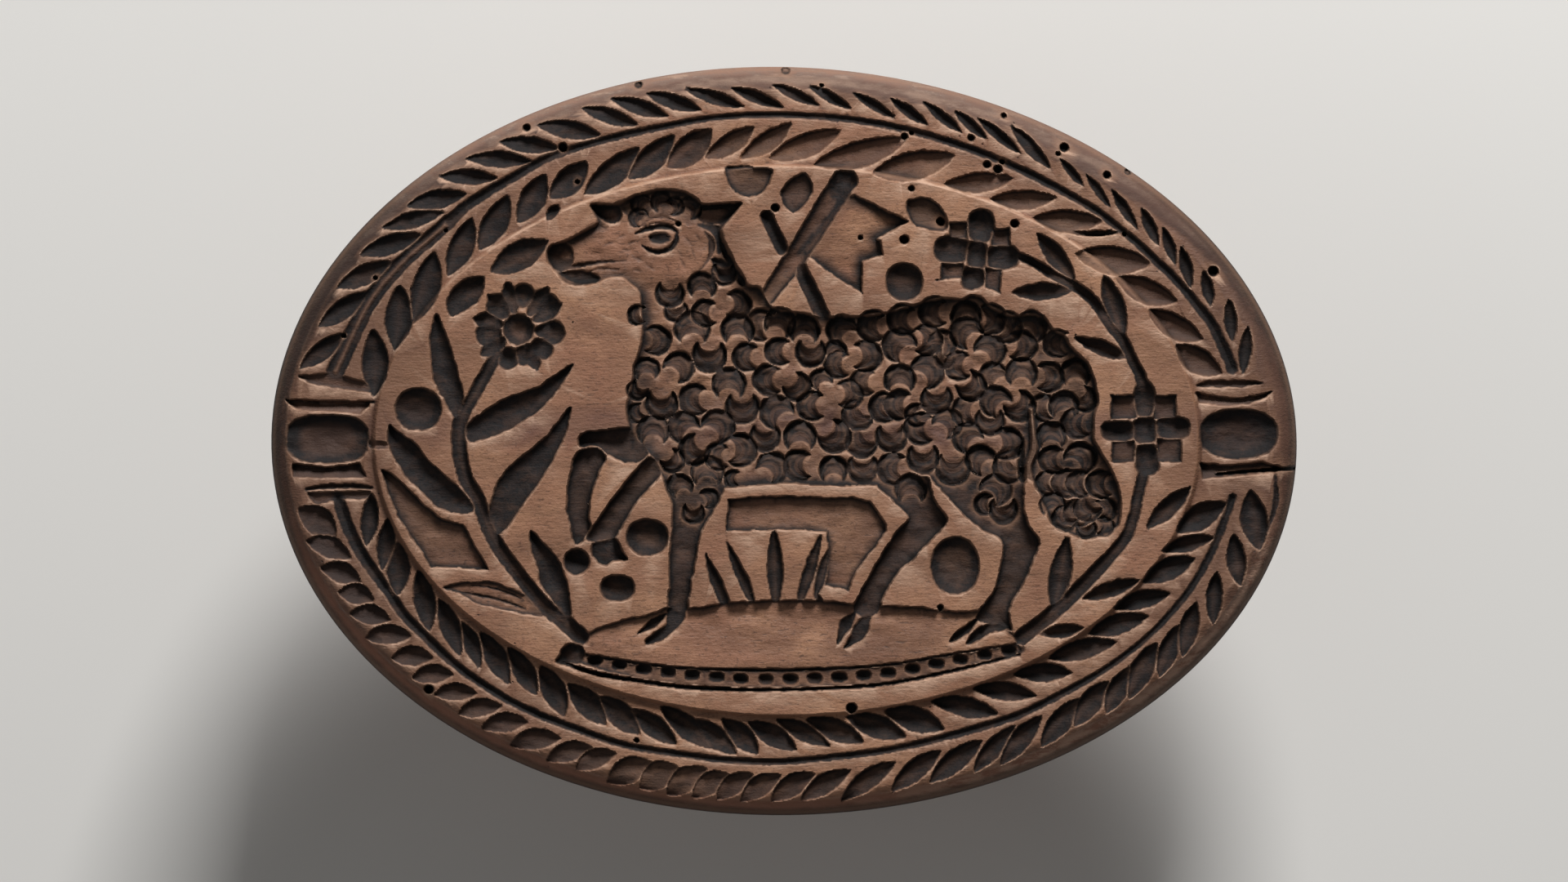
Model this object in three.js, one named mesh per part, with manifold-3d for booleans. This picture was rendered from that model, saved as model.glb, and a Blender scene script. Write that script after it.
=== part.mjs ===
// A wooden stamp: an oval hardwood block, carved in intaglio on its face, on a turned handle.
// The face holds a lamb with a banner on a low mound, among flowers and leaves, inside a
// wreath of two leafy branches. The stamp stands face up on the flat end of its handle.
// Millimetres, +Z up. The origin is the centre of the handle's flat end.

import * as THREE from 'three';
import * as BufferGeometryUtils from 'three/addons/utils/BufferGeometryUtils.js';
import Module from 'manifold-3d';

const wasm = await Module();
wasm.setup();

// Block
const blockLength = 200;
const blockWidth = 146;
const blockThickness = 28;
const backRounding = 3.5;
const rimRounding = 9;
const rimLean = 5.5;
const outlineSteps = 72;
// The hand-cut outline swells and sinks a little from a true oval: how many times it does so
// around the oval, and by how many millimetres, along its length and across it.
const outlineSwells = [
  { turns: 1, along: -0.33, across: -0.19 },
  { turns: 2, along: -0.28, across: -0.33 },
  { turns: 3, along: 0.31, across: -0.22 },
];

// Raised field in the middle of the face, and the wreath's band around it
const fieldLength = 159.6;
const fieldWidth = 106.2;
const fieldShift = 0.5;
const fieldStep = 1.4;
const fieldWallLean = 0.4;
const bandMargin = 6;

// Handle
const handleLength = 60;
const knobDiameter = 52;
const knobEndDiameter = 40;
const knobHeight = 15;
// The knob is nearly as wide again this far below and above its widest place.
const shoulderSetback = 1.5;
const lowerShoulderDrop = 10;
const upperShoulderRise = 8;
const waistDiameter = 26;
const waistHeight = 39;
// The neck's diameter is met at the collar, and once more this far below the waist.
const neckDiameter = 33;
const waistFlare = 8;
const collarDiameter = 40;
const collarThickness = 4;
const collarEase = 0.9;
const tenonDiameter = 22;
const tenonLength = 14;
const tenonChamfer = 1;
const handleSteps = 36;
const gripSteps = 18;

// Wedge that spreads the tenon in its blind socket
const kerfWidth = 3;
const kerfDepth = 11;
const wedgeEdge = 1.6;
const wedgeLength = 10;

// Fits
const fitClearance = 0.3;
const socketSpare = 0.6;

// Carving depths
const lambDepth = 3.2;
const neckDepth = 2.8;
const tailDepth = 3;
const headDepth = 2.2;
const lambWall = 1.4;
const legDepth = 2.8;
const plantDepth = 1.9;
const leafDepth = 2.1;
const pelletDepth = 2.6;
const panelDepth = 1.5;
const poleDepth = 2.3;
const bannerDepth = 1.3;
const wreathDepth = 1.5;
const branchDepth = 0.9;
const bossDepth = 3.8;
const curlDepth = 1.1;
const cutterLift = 3;

// The face was drawn at this size, and its layout stretches with the block.
const drawnLength = 200;
const drawnWidth = 146;
const stretchX = blockLength / drawnLength;
const stretchY = blockWidth / drawnWidth;

const faceHeight = handleLength + fitClearance + blockThickness;

// Layout of the lamb: outline of head, body and tail, from the muzzle over the back
const lambOutline = [
  [-46.3, 35.5], [-42.3, 39.2], [-36.6, 42.3], [-33.2, 45.6], [-28.6, 47.9], [-21.7, 48.8],
  [-16.6, 46.5], [-12.4, 41.2], [-9.6, 35.2], [-6.9, 30.3], [-2.2, 26.2], [8, 24.3], [20, 25],
  [31, 27.7], [37, 28.2], [41.2, 25.4], [46, 24.4], [51.5, 22.6], [56.6, 17.6], [60.2, 12],
  [60.8, 6], [60.6, 0.4], [63.3, -5], [65.3, -11.2], [64.4, -17], [58.4, -19.2], [52, -16.3],
  [49.4, -9], [46.5, -7.6], [38, -8.4], [29, -6.4], [17.8, -8.9], [6, -8.8], [-5.3, -8.8],
  [-13, -8], [-21, -7.6], [-26.4, -3], [-30.4, 3], [-30.6, 7.4], [-29.2, 14.5], [-27.7, 21],
  [-28.2, 28.3], [-31.7, 31.4], [-36.8, 30.4], [-42.4, 30.6],
];
// Hollows that dish the lamb: centre, half-axes and depth below the field
const lambDishes = [
  { x: 15, y: 9, halfLength: 50, halfWidth: 24, depth: lambDepth },
  { x: -18, y: 14, halfLength: 19, halfWidth: 30, depth: neckDepth },
  { x: 56, y: -4, halfLength: 15, halfWidth: 22, depth: tailDepth },
  { x: -28, y: 38, halfLength: 24, halfWidth: 13, depth: headDepth },
];

// Legs, ears and toes: middle line of each gouge cut, with its width at each point
const lambStrokes = [
  {
    line: [[-17, -5], [-17.4, -12], [-19.2, -20], [-20.3, -28], [-20.6, -34]],
    widths: [12, 8.4, 6, 4.4, 4],
  },
  { line: [[-19.6, -33], [-22.6, -37], [-27.2, -39.3]], widths: [3.4, 3.6, 0] },
  { line: [[-23, -34], [-26, -35.6], [-29.2, -38]], widths: [1.8, 2.4, 0] },
  { line: [[-26, -0.6], [-34, -0.4], [-39.9, -0.2]], widths: [6, 4.6, 2.6] },
  { line: [[-37.4, -1], [-39.4, -9], [-39.9, -14], [-38.8, -19.6]], widths: [6, 5, 4.4, 3.2] },
  { line: [[-24, -3.6], [-31.2, -11], [-36.2, -18.6]], widths: [6.4, 4.6, 4.2] },
  {
    line: [[23, -7], [26.4, -14.8], [21.2, -23], [16.8, -30], [15.8, -34]],
    widths: [12, 7.6, 5.6, 4.6, 4.2],
  },
  { line: [[15, -33], [13.2, -37], [10.4, -39.8]], widths: [3, 3.4, 0] },
  { line: [[16.8, -33], [15, -37.2], [11.8, -40.4]], widths: [2.4, 3, 0] },
  {
    line: [[38, -5], [41.4, -13.6], [45.9, -20.4], [43.6, -28], [40.6, -35]],
    widths: [18, 12, 7, 5.4, 5.6],
  },
  { line: [[37.6, -34], [35, -36.8], [31.8, -39.4]], widths: [2.4, 3.2, 0] },
  { line: [[41.6, -35], [38.4, -37.6], [34.8, -39.8]], widths: [2.4, 3.2, 0] },
  { line: [[-37.9, 46], [-34.6, 44.6], [-31, 43.4]], widths: [0, 4, 2] },
  { line: [[-8, 46.2], [-12, 44.6], [-16, 43.6]], widths: [0, 4.4, 3] },
];
// Curls of the fleece: rows of crescent cuts, from the first curl to the last one of a row
const curlRows = [
  { from: [-22, 27], to: [-12, 25], count: 2 },
  { from: [-22, 17], to: [38, 20], count: 8 },
  { from: [-24, 8], to: [50, 11], count: 9 },
  { from: [-22, -1], to: [54, 1], count: 9 },
  { from: [55, -9], to: [58, -16], count: 2 },
];
const curlRadius = 2.3;
const curlWidth = 2.2;
// How far each arc reaches to both sides of its middle, and how every other curl is turned
const curlReach = 63;
const curlTurns = [-54, 81];

// Stems of the plants: middle line and widths
const stems = [
  {
    line: [[-55.4, 16.6], [-60.6, 8], [-63, -0.8], [-59.6, -11], [-52.4, -24.7], [-39.3, -38.4]],
    widths: [2.6, 2.6, 3, 3, 3, 3.4],
  },
  { line: [[44.4, 36.2], [55.7, 30.4], [63.3, 22.4], [70, 9]], widths: [1.8, 2.2, 2.4, 2.6] },
  { line: [[70.2, -5], [67.7, -15], [60.3, -25.5], [46, -38.3]], widths: [2.4, 2.6, 3, 3.4] },
];
// Leaves: from tip to base, with the widest width
const leaves = [
  { tip: [-67.3, 24.4], base: [-62.2, 4.6], width: 5 },
  { tip: [-40.8, 14.6], base: [-61, 1.8], width: 5.8 },
  { tip: [-41.4, 6.6], base: [-56.6, -17.4], width: 6.4 },
  { tip: [-76.6, 1.6], base: [-60.4, -13.8], width: 6 },
  { tip: [-66, -28.5], base: [-47.6, -32.2], width: 4.4 },
  { tip: [-49.2, -17.4], base: [-41.8, -35], width: 5.2 },
  { tip: [-56.8, 32.8], base: [-45.8, 38.8], width: 5.6 },
  { tip: [-65, 24.2], base: [-58.2, 31.8], width: 5.2 },
  { tip: [-45.9, 42.6], base: [-43.8, 45.9], width: 1.8 },
  { tip: [49.2, 40.2], base: [56.2, 31], width: 3.6 },
  { tip: [44.3, 28.7], base: [56, 29.2], width: 3.4 },
  { tip: [62, 32], base: [66, 20], width: 4 },
  { tip: [56.4, 20], base: [67.2, 16], width: 3 },
  { tip: [78.8, -9], base: [70.2, -17], width: 3.6 },
  { tip: [69, -27], base: [57.6, -30.6], width: 3 },
  { tip: [58, -36.2], base: [49.4, -37.4], width: 2.6 },
  { tip: [54.9, -18.8], base: [52.4, -33.4], width: 4.3 },
  { tip: [1.9, 51.8], base: [1.9, 44.1], width: 5.6 },
  { tip: [24.2, 46.8], base: [31.6, 41], width: 5.4 },
  { tip: [-15.2, -21.8], base: [-9.8, -35.6], width: 2.4 },
  { tip: [-11, -19.6], base: [-5, -34.6], width: 2.2 },
  { tip: [-1.8, -17], base: [-1.6, -33], width: 3 },
  { tip: [7, -18.2], base: [2.6, -33], width: 2.4 },
  { tip: [9, -20.2], base: [8.4, -35.8], width: 2.4 },
];
// Round pellets: centre and half-axes
const pellets = [
  { x: -70.9, y: 6.1, halfLength: 4.7, halfWidth: 4.3 },
  { x: -26.5, y: -18.7, halfLength: 4.2, halfWidth: 3.7 },
  { x: -32.3, y: -28.5, halfLength: 3.5, halfWidth: 2.8 },
  { x: 23.3, y: 30.8, halfLength: 3.75, halfWidth: 3.75 },
  { x: 33.2, y: -24.2, halfLength: 4.85, halfWidth: 5.7 },
  { x: -40, y: -23.6, halfLength: 2.6, halfWidth: 2.4 },
  { x: -33.8, y: -21.2, halfLength: 3.5, halfWidth: 2.6 },
  { x: -6.8, y: 51.2, halfLength: 4.6, halfWidth: 2.8 },
];
// Double flower at the head of the left plant
const flower = { x: -51.5, y: 21.8, heartRadius: 3.2, petalRing: 5.6, petalRadius: 2.7, petals: 8 };
// Two square roses: half the square's side, the cross bar's width and its half length
const roses = [
  { x: 37.3, y: 36, halfSide: 6.1, barWidth: 3.8, reach: 7.6, turn: 7 },
  { x: 70, y: 2.3, halfSide: 6.4, barWidth: 4, reach: 8.5, turn: 0 },
];
const roseGroundDepth = 0.9;
// A rose's bar swells into lobes: places along its half length, and shares of its width there
const roseBarPlaces = [-1, -0.7, -0.35, 0, 0.35, 0.7, 1];
const roseBarSwells = [0.5, 1, 0.8, 1, 0.8, 1, 0.5];

// Banner: pole, cross bar and flag
const bannerStrokes = [
  { line: [[12.2, 51], [4, 38.6], [-3.4, 27.6]], widths: [4.4, 4.2, 3.4] },
  { line: [[-3.1, 44.4], [1, 37]], widths: [2.4, 2.2] },
  { line: [[2.6, 34], [7.4, 24]], widths: [2.8, 3.2] },
];
const flagOutline = [
  [12.4, 46.9], [13.7, 47.9], [24.6, 42.5], [18.6, 39.2], [19.4, 35.7], [15.4, 34.8],
  [15.3, 28.3], [8.8, 32.3], [4.2, 35.8],
];
// Flat sunk panels: the large notched leaf at the left and the one under the belly
const leafPanel = [
  [-78.5, -5.1], [-72.9, -9], [-66.5, -14.8], [-62.1, -16], [-60.8, -18.6], [-57.1, -25.1],
  [-68.5, -24.7], [-72.3, -18.9], [-77.2, -9],
];
const bellyPanel = [
  [-10.9, -11.2], [-0.5, -10.5], [13.3, -10.9], [16.8, -11.6], [19.9, -16.8], [14.3, -25.1],
  [12.6, -29.2], [7.9, -28], [8.6, -21.6], [8, -17.8], [-4, -17.5], [-11.4, -17.5],
];
const moundOutline = [
  [-43.9, -42.6], [-41.7, -39.7], [-36, -36], [-29.2, -34.1], [-18.2, -32.4], [-6, -31],
  [6.4, -30.8], [20, -31.8], [31, -32.7], [40, -34.4], [46.2, -38.6], [46.4, -40.8], [38.1, -43.2],
  [22.2, -46.9], [6.3, -48], [-9.5, -48.2], [-25.4, -46.9],
];
const moundDepth = 1.3;
// Beaded edge under the mound: an arc of small pits
const beads = {
  from: -36.8, to: 43.5, count: 23, endHeight: -41.8, sag: 4.4, halfLength: 1.5, halfWidth: 1.1,
};
const beadDepth = 1.6;

// Wreath: middle line and widths of its two branches, and its four rows of leaves.
// A row's stations give the leaf's number, its tip, its base and its width.
const branches = [
  {
    line: [[-87, 13.4], [-81.5, 25], [-72, 36.5], [-57, 48.5], [-38, 57.6], [-14, 62.6], [10, 62.9],
      [30, 58.6], [48, 51.6], [64, 42], [76, 31.3], [83.4, 21.8], [87.6, 12.8]],
    widths: [2.4, 2.2, 2, 1.6, 1.3, 1.1, 1.1, 1.3, 1.6, 2, 2.2, 2.6, 2.8],
  },
  {
    line: [[-86.6, -11], [-82.5, -21], [-73.5, -34], [-62, -44.8], [-45, -54.2], [-25, -60], [-5, -62.4],
      [15, -60.7], [35, -56.5], [54, -49], [70, -38.5], [80, -27], [87, -11.4]],
    widths: [2.2, 2.2, 1.9, 1.6, 1.5, 1.3, 1.2, 1.3, 1.4, 1.6, 1.9, 2.2, 2.4],
  },
];
const wreathRows = [
  [
    { leaf: 0, tip: [-94, 13.8], base: [-85.2, 20.8], width: 3.2 },
    { leaf: 3, tip: [-82.3, 36], base: [-70.3, 40.1], width: 3.5 },
    { leaf: 7, tip: [-62.2, 54.8], base: [-48.8, 54.3], width: 3 },
    { leaf: 9, tip: [-48, 61.3], base: [-35.5, 59.3], width: 3.2 },
    { leaf: 12, tip: [-26.8, 67.4], base: [-15.9, 64.1], width: 2.7 },
    { leaf: 16, tip: [4.9, 68.9], base: [13, 64.4], width: 2 },
    { leaf: 20, tip: [33, 64.4], base: [39.6, 58.4], width: 1.9 },
    { leaf: 22, tip: [43.9, 61.2], base: [51.7, 52.8], width: 2.3 },
    { leaf: 25, tip: [63.5, 48.8], base: [68.6, 41], width: 1.8 },
    { leaf: 28, tip: [77, 37.7], base: [79.2, 29.5], width: 2.1 },
    { leaf: 31, tip: [90, 22.2], base: [89, 12.8], width: 2.3 },
  ],
  [
    { leaf: 0, tip: [-79.6, 8.6], base: [-79.7, 21.8], width: 4.7 },
    { leaf: 2, tip: [-71.8, 22.8], base: [-67.6, 36.8], width: 4.9 },
    { leaf: 5, tip: [-51.9, 42.2], base: [-46.2, 51.8], width: 4.5 },
    { leaf: 8, tip: [-30.4, 51], base: [-21.2, 59.4], width: 4.5 },
    { leaf: 11, tip: [-8.7, 54.9], base: [1.6, 61.5], width: 3.6 },
    { leaf: 12, tip: [-3, 54.9], base: [11, 60.2], width: 4.2 },
    { leaf: 14, tip: [17.2, 52], base: [33.2, 55.4], width: 5 },
    { leaf: 16, tip: [40, 46.9], base: [53, 47.2], width: 3.6 },
    { leaf: 18, tip: [56.4, 36.2], base: [71.1, 34.4], width: 4.8 },
    { leaf: 21, tip: [76, 18.4], base: [85, 13.2], width: 4.5 },
  ],
  [
    { leaf: 0, tip: [-94, -13.4], base: [-87, -19], width: 3.8 },
    { leaf: 3, tip: [-86.8, -29.2], base: [-79.4, -30.9], width: 3.3 },
    { leaf: 7, tip: [-72.3, -45.8], base: [-64, -45.3], width: 3 },
    { leaf: 11, tip: [-53.3, -58.9], base: [-43.2, -57.7], width: 3.3 },
    { leaf: 14, tip: [-34.5, -66.2], base: [-25.5, -62.4], width: 4.2 },
    { leaf: 19, tip: [-8.5, -69.8], base: [-0.5, -64.6], width: 3.4 },
    { leaf: 22, tip: [11, -69.6], base: [21.7, -62.2], width: 3.4 },
    { leaf: 26, tip: [42, -62.9], base: [50, -53.3], width: 3.7 },
    { leaf: 29, tip: [62.4, -53], base: [67.3, -43.8], width: 3.6 },
    { leaf: 32, tip: [77.5, -42.1], base: [79.8, -31.2], width: 3.1 },
    { leaf: 35, tip: [92.4, -21.3], base: [89.6, -9.8], width: 4.6 },
  ],
  [
    { leaf: 0, tip: [-79.6, -10], base: [-80.9, -20.5], width: 3.2 },
    { leaf: 3, tip: [-71, -25], base: [-68.9, -37], width: 4 },
    { leaf: 7, tip: [-53.6, -40], base: [-47.9, -49.3], width: 4 },
    { leaf: 10, tip: [-36.4, -49.4], base: [-28.4, -57], width: 4.5 },
    { leaf: 13, tip: [-18.8, -53.6], base: [-9.2, -60.7], width: 4.2 },
    { leaf: 16, tip: [-1.5, -54], base: [9, -59.3], width: 3.6 },
    { leaf: 20, tip: [28.6, -50.6], base: [41.4, -53], width: 3.9 },
    { leaf: 23, tip: [51.3, -42], base: [64.4, -39], width: 3.8 },
    { leaf: 26, tip: [69.3, -27.4], base: [79.8, -22.8], width: 4.1 },
    { leaf: 28, tip: [76, -17.8], base: [85.8, -12], width: 4.6 },
  ],
];

// Oval bosses at both ends of the face and the grooves of the panels that hold them
const bosses = [
  { x: -88.6, y: 0.35, halfLength: 8.3, halfWidth: 4.9 },
  { x: 88.2, y: 1.3, halfLength: 7.9, halfWidth: 5 },
];
const bossGrooves = [
  { line: [[-95.6, 6.9], [-87.5, 6.7], [-79.6, 6.8]], widths: [0, 2.8, 2.6] },
  { line: [[-95, -6], [-88, -6.2], [-80.4, -6.4]], widths: [0, 2.6, 2.2] },
  { line: [[80.2, 8.6], [87.5, 7.4], [94.6, 8.4]], widths: [2, 2.6, 0] },
  { line: [[80.6, -5.6], [88, -5.2], [95.6, -4.6]], widths: [2.2, 2.2, 0] },
];
const grooveDepth = 1.1;

// Sections of the cuts: the share of a cut's depth that its upright wall takes, how round a
// leaf's outline is, and how soon a stroke that narrows gets shallow too
const strokeWallShare = 0.35;
const roseWallShare = 0.5;
const curlWallShare = 0.8;
const leafRoundness = 0.8;
const strokeRunOut = 2.5;

// How finely the cuts are faceted
const pelletSteps = 12;
const bossSteps = 20;
const petalSteps = 8;
const beadSteps = 6;
const dishSteps = 24;
const lambSamples = 90;
const moundSamples = 50;
const leafSpans = 4;
const wreathLeafSpans = 3;
const strokeSpans = 2;
const branchSpans = 1.5;
const bowlBands = 2;
const dishBands = 3;
const beadBands = 1;
// The flat floor of a bowl takes this share of one band.
const bowlFloorShare = 0.5;

const ovalRadius = (angle, swells) => swells.reduce(
  (sum, swell) => sum + (swell.along * Math.cos(swell.turns * angle)
    + swell.across * Math.sin(swell.turns * angle)) / (drawnLength / 2),
  1,
);

// Outline of the block as points around the oval, fitted exactly to its length and width
function makeBlockOutline() {
  const points = [];
  for (let step = 0; step < outlineSteps; step += 1) {
    const turn = (step / outlineSteps) * 2 * Math.PI;
    const x = Math.cos(turn) * blockLength / 2;
    const y = Math.sin(turn) * blockWidth / 2;
    const swell = ovalRadius(Math.atan2(y, x), outlineSwells);
    points.push(new THREE.Vector2(x * swell, y * swell));
  }
  const bounds = new THREE.Box2().setFromPoints(points);
  const size = bounds.getSize(new THREE.Vector2());
  const centre = bounds.getCenter(new THREE.Vector2());
  return points.map((point) => new THREE.Vector2(
    (point.x - centre.x) * blockLength / size.x,
    (point.y - centre.y) * blockWidth / size.y,
  ));
}

// Height of the uncut face at a point, measured from the raised field
function surfaceLevel(x, y) {
  const out = Math.hypot((x - fieldShift) / (fieldLength / 2), y / (fieldWidth / 2));
  return out < 1 ? 0 : -fieldStep;
}

// Closed surface through rings of equally many points, each ring anticlockwise as seen from
// the last one back to the first. Rings that shrink to a point are closed by merging.
function loft(rings) {
  const steps = rings[0].length;
  const positions = rings.flat().flatMap((point) => [point.x, point.y, point.z]);
  const triangles = [];
  for (let ring = 0; ring + 1 < rings.length; ring += 1) {
    for (let step = 0; step < steps; step += 1) {
      const next = (step + 1) % steps;
      const low = ring * steps;
      const high = low + steps;
      triangles.push(low + step, low + next, high + next);
      triangles.push(low + step, high + next, high + step);
    }
  }
  const last = (rings.length - 1) * steps;
  for (let step = 1; step + 1 < steps; step += 1) {
    triangles.push(0, step + 1, step);
    triangles.push(last, last + step, last + step + 1);
  }
  const geometry = new THREE.BufferGeometry();
  geometry.setAttribute('position', new THREE.Float32BufferAttribute(positions, 3));
  geometry.setIndex(triangles);
  return geometry;
}

// Solid of a closed geometry: equal vertices are merged and collapsed triangles are dropped
function solidFrom(geometry) {
  const source = geometry.clone();
  source.deleteAttribute('normal');
  source.deleteAttribute('uv');
  const merged = BufferGeometryUtils.mergeVertices(source, 1e-5);
  const corners = merged.index.array;
  const kept = [];
  for (let corner = 0; corner < corners.length; corner += 3) {
    const [a, b, c] = [corners[corner], corners[corner + 1], corners[corner + 2]];
    if (a !== b && b !== c && c !== a) kept.push(a, b, c);
  }
  return new wasm.Manifold(new wasm.Mesh({
    numProp: 3,
    vertProperties: new Float32Array(merged.attributes.position.array),
    triVerts: new Uint32Array(kept),
  }));
}

function geometryFrom(solid) {
  const mesh = solid.getMesh();
  const geometry = new THREE.BufferGeometry();
  geometry.setAttribute('position', new THREE.BufferAttribute(new Float32Array(mesh.vertProperties), 3));
  geometry.setIndex(new THREE.BufferAttribute(new Uint32Array(mesh.triVerts), 1));
  return geometry;
}

const onFace = ([x, y]) => new THREE.Vector3(x * stretchX, y * stretchY, 0);

// Value at a share of the way along a list of evenly spaced values
function between(values, share) {
  const place = share * (values.length - 1);
  const first = Math.min(Math.floor(place), values.length - 2);
  return THREE.MathUtils.lerp(values[first], values[first + 1], place - first);
}

// Cutter of one gouge cut: a V with short upright walls, swept along a line on the face
function gougeAlong(curve, spans, widthAt, depthAt, wallShare) {
  const rings = [];
  for (let span = 0; span <= spans; span += 1) {
    const share = span / spans;
    const point = curve.getPoint(share);
    const tangent = curve.getTangent(share);
    const left = new THREE.Vector3(-tangent.y, tangent.x, 0).normalize();
    const level = surfaceLevel(point.x, point.y);
    const half = widthAt(share) / 2;
    const depth = depthAt(share);
    const corner = (side, height) => point.clone().addScaledVector(left, side * half).setZ(height);
    rings.push([
      corner(1, level + cutterLift),
      corner(-1, level + cutterLift),
      corner(-1, level - depth * wallShare),
      corner(0, level - depth),
      corner(1, level - depth * wallShare),
    ]);
  }
  return solidFrom(loft(rings));
}

// A leaf is one lens-shaped gouge cut, pointed at both ends
function leafCut(leaf, depth, spans) {
  const line = new THREE.LineCurve3(onFace(leaf.tip), onFace(leaf.base));
  const swell = (share) => Math.sin(Math.PI * share) ** leafRoundness;
  const widthAt = (share) => leaf.width * swell(share);
  const depthAt = (share) => depth * swell(share);
  return gougeAlong(line, spans, widthAt, depthAt, 0);
}

// A stroke follows its line, and runs out to a point where its width is zero
function strokeCut(stroke, depth, spansPerPoint = strokeSpans, wallShare = strokeWallShare) {
  const curve = new THREE.CatmullRomCurve3(stroke.line.map(onFace));
  const widest = Math.max(...stroke.widths);
  const fullness = (share) => strokeRunOut * between(stroke.widths, share) / widest;
  const depthAt = (share) => depth * Math.min(1, fullness(share));
  return gougeAlong(
    curve, (stroke.line.length - 1) * spansPerPoint,
    (share) => between(stroke.widths, share), depthAt, wallShare,
  );
}

// A bowl is an oval hollow with a round section
function bowlCut(bowl, depth, steps, bands = bowlBands) {
  const level = surfaceLevel(bowl.x * stretchX, bowl.y * stretchY);
  const ringAt = (share, height) => Array.from({ length: steps }, (unused, step) => {
    const turn = (step / steps) * 2 * Math.PI;
    return new THREE.Vector3(
      (bowl.x + bowl.halfLength * share * Math.cos(turn)) * stretchX,
      (bowl.y + bowl.halfWidth * share * Math.sin(turn)) * stretchY,
      height,
    );
  });
  const rings = [];
  for (let band = 1; band <= bands; band += 1) {
    const angle = (band / (bands + bowlFloorShare)) * (Math.PI / 2);
    rings.push(ringAt(Math.sin(angle), level - depth * Math.cos(angle)));
  }
  rings.push(ringAt(1, level));
  rings.push(ringAt(1, level + cutterLift));
  return solidFrom(loft(rings));
}

// A pocket is sunk straight down inside an outline, smooth or with corners
function pocketCut(outline, depth, smooth) {
  const corners = outline.map(onFace);
  const points = smooth
    ? new THREE.CatmullRomCurve3(corners, true, 'centripetal').getPoints(smooth).slice(0, -1)
    : corners;
  const shape = new THREE.Shape(points.map((point) => new THREE.Vector2(point.x, point.y)));
  const geometry = new THREE.ExtrudeGeometry(shape, { depth: depth + cutterLift, bevelEnabled: false });
  geometry.translate(0, 0, -depth);
  return solidFrom(geometry);
}

// The lamb's hollow follows its outline, with a low wall all round and dished inside
function lambCuts() {
  const outline = pocketCut(lambOutline, lambDepth + lambWall, lambSamples);
  const floor = lambDishes
    .map((dish) => bowlCut(dish, dish.depth, dishSteps, dishBands))
    .reduce((sum, dish) => sum.add(dish), pocketCut(lambOutline, lambWall, lambSamples));
  const legs = lambStrokes.map((stroke) => strokeCut(stroke, legDepth));
  return [outline.intersect(floor), ...legs, ...curlCuts()];
}

// Crescent cuts of the fleece, each an arc that bulges away from the next one's
function curlCuts() {
  const cuts = [];
  curlRows.forEach((row, rowNumber) => {
    for (let curl = 0; curl < row.count; curl += 1) {
      const share = row.count > 1 ? curl / (row.count - 1) : 0;
      const x = THREE.MathUtils.lerp(row.from[0], row.to[0], share);
      const y = THREE.MathUtils.lerp(row.from[1], row.to[1], share);
      const turn = curlTurns[(curl + rowNumber) % curlTurns.length];
      const arc = [-1, -0.4, 0.4, 1].map((part) => {
        const angle = THREE.MathUtils.degToRad(turn + part * curlReach);
        return [x + curlRadius * Math.cos(angle), y + curlRadius * Math.sin(angle)];
      });
      const line = new THREE.CatmullRomCurve3(arc.map(onFace));
      const widthAt = (part) => curlWidth * Math.sin(Math.PI * part);
      const depthAt = () => lambDepth + curlDepth;
      cuts.push(gougeAlong(line, leafSpans, widthAt, depthAt, curlWallShare));
    }
  });
  return cuts;
}

function flowerCuts() {
  const round = (x, y, radius) => ({ x, y, halfLength: radius, halfWidth: radius });
  const bowls = [round(flower.x, flower.y, flower.heartRadius)];
  for (let petal = 0; petal < flower.petals; petal += 1) {
    const turn = (petal / flower.petals) * 2 * Math.PI;
    const x = flower.x + flower.petalRing * Math.cos(turn);
    const y = flower.y + flower.petalRing * Math.sin(turn);
    bowls.push(round(x, y, flower.petalRadius));
  }
  return bowls.map((bowl) => bowlCut(bowl, plantDepth, petalSteps));
}

// A square rose: four sunk squares, parted by a deeper cross with round ends
function roseCuts(rose) {
  const turn = THREE.MathUtils.degToRad(-rose.turn);
  const place = ([x, y]) => [
    rose.x + x * Math.cos(turn) - y * Math.sin(turn),
    rose.y + x * Math.sin(turn) + y * Math.cos(turn),
  ];
  const ground = [[-1, -1], [1, -1], [1, 1], [-1, 1]]
    .map(([x, y]) => place([x * rose.halfSide, y * rose.halfSide]));
  const bars = [[0, 1], [1, 0]].map(([x, y]) => {
    const line = roseBarPlaces.map((part) => place([x * rose.reach * part, y * rose.reach * part]));
    const widths = roseBarSwells.map((share) => share * rose.barWidth);
    return strokeCut({ line, widths }, plantDepth, 1, roseWallShare);
  });
  return [pocketCut(ground, roseGroundDepth), ...bars];
}

function beadCuts() {
  return Array.from({ length: beads.count }, (unused, bead) => {
    const share = bead / (beads.count - 1);
    const across = 2 * share - 1;
    const pit = {
      x: THREE.MathUtils.lerp(beads.from, beads.to, share),
      y: beads.endHeight - beads.sag * (1 - across * across),
      halfLength: beads.halfLength,
      halfWidth: beads.halfWidth,
    };
    return bowlCut(pit, moundDepth + beadDepth, beadSteps, beadBands);
  });
}

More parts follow.
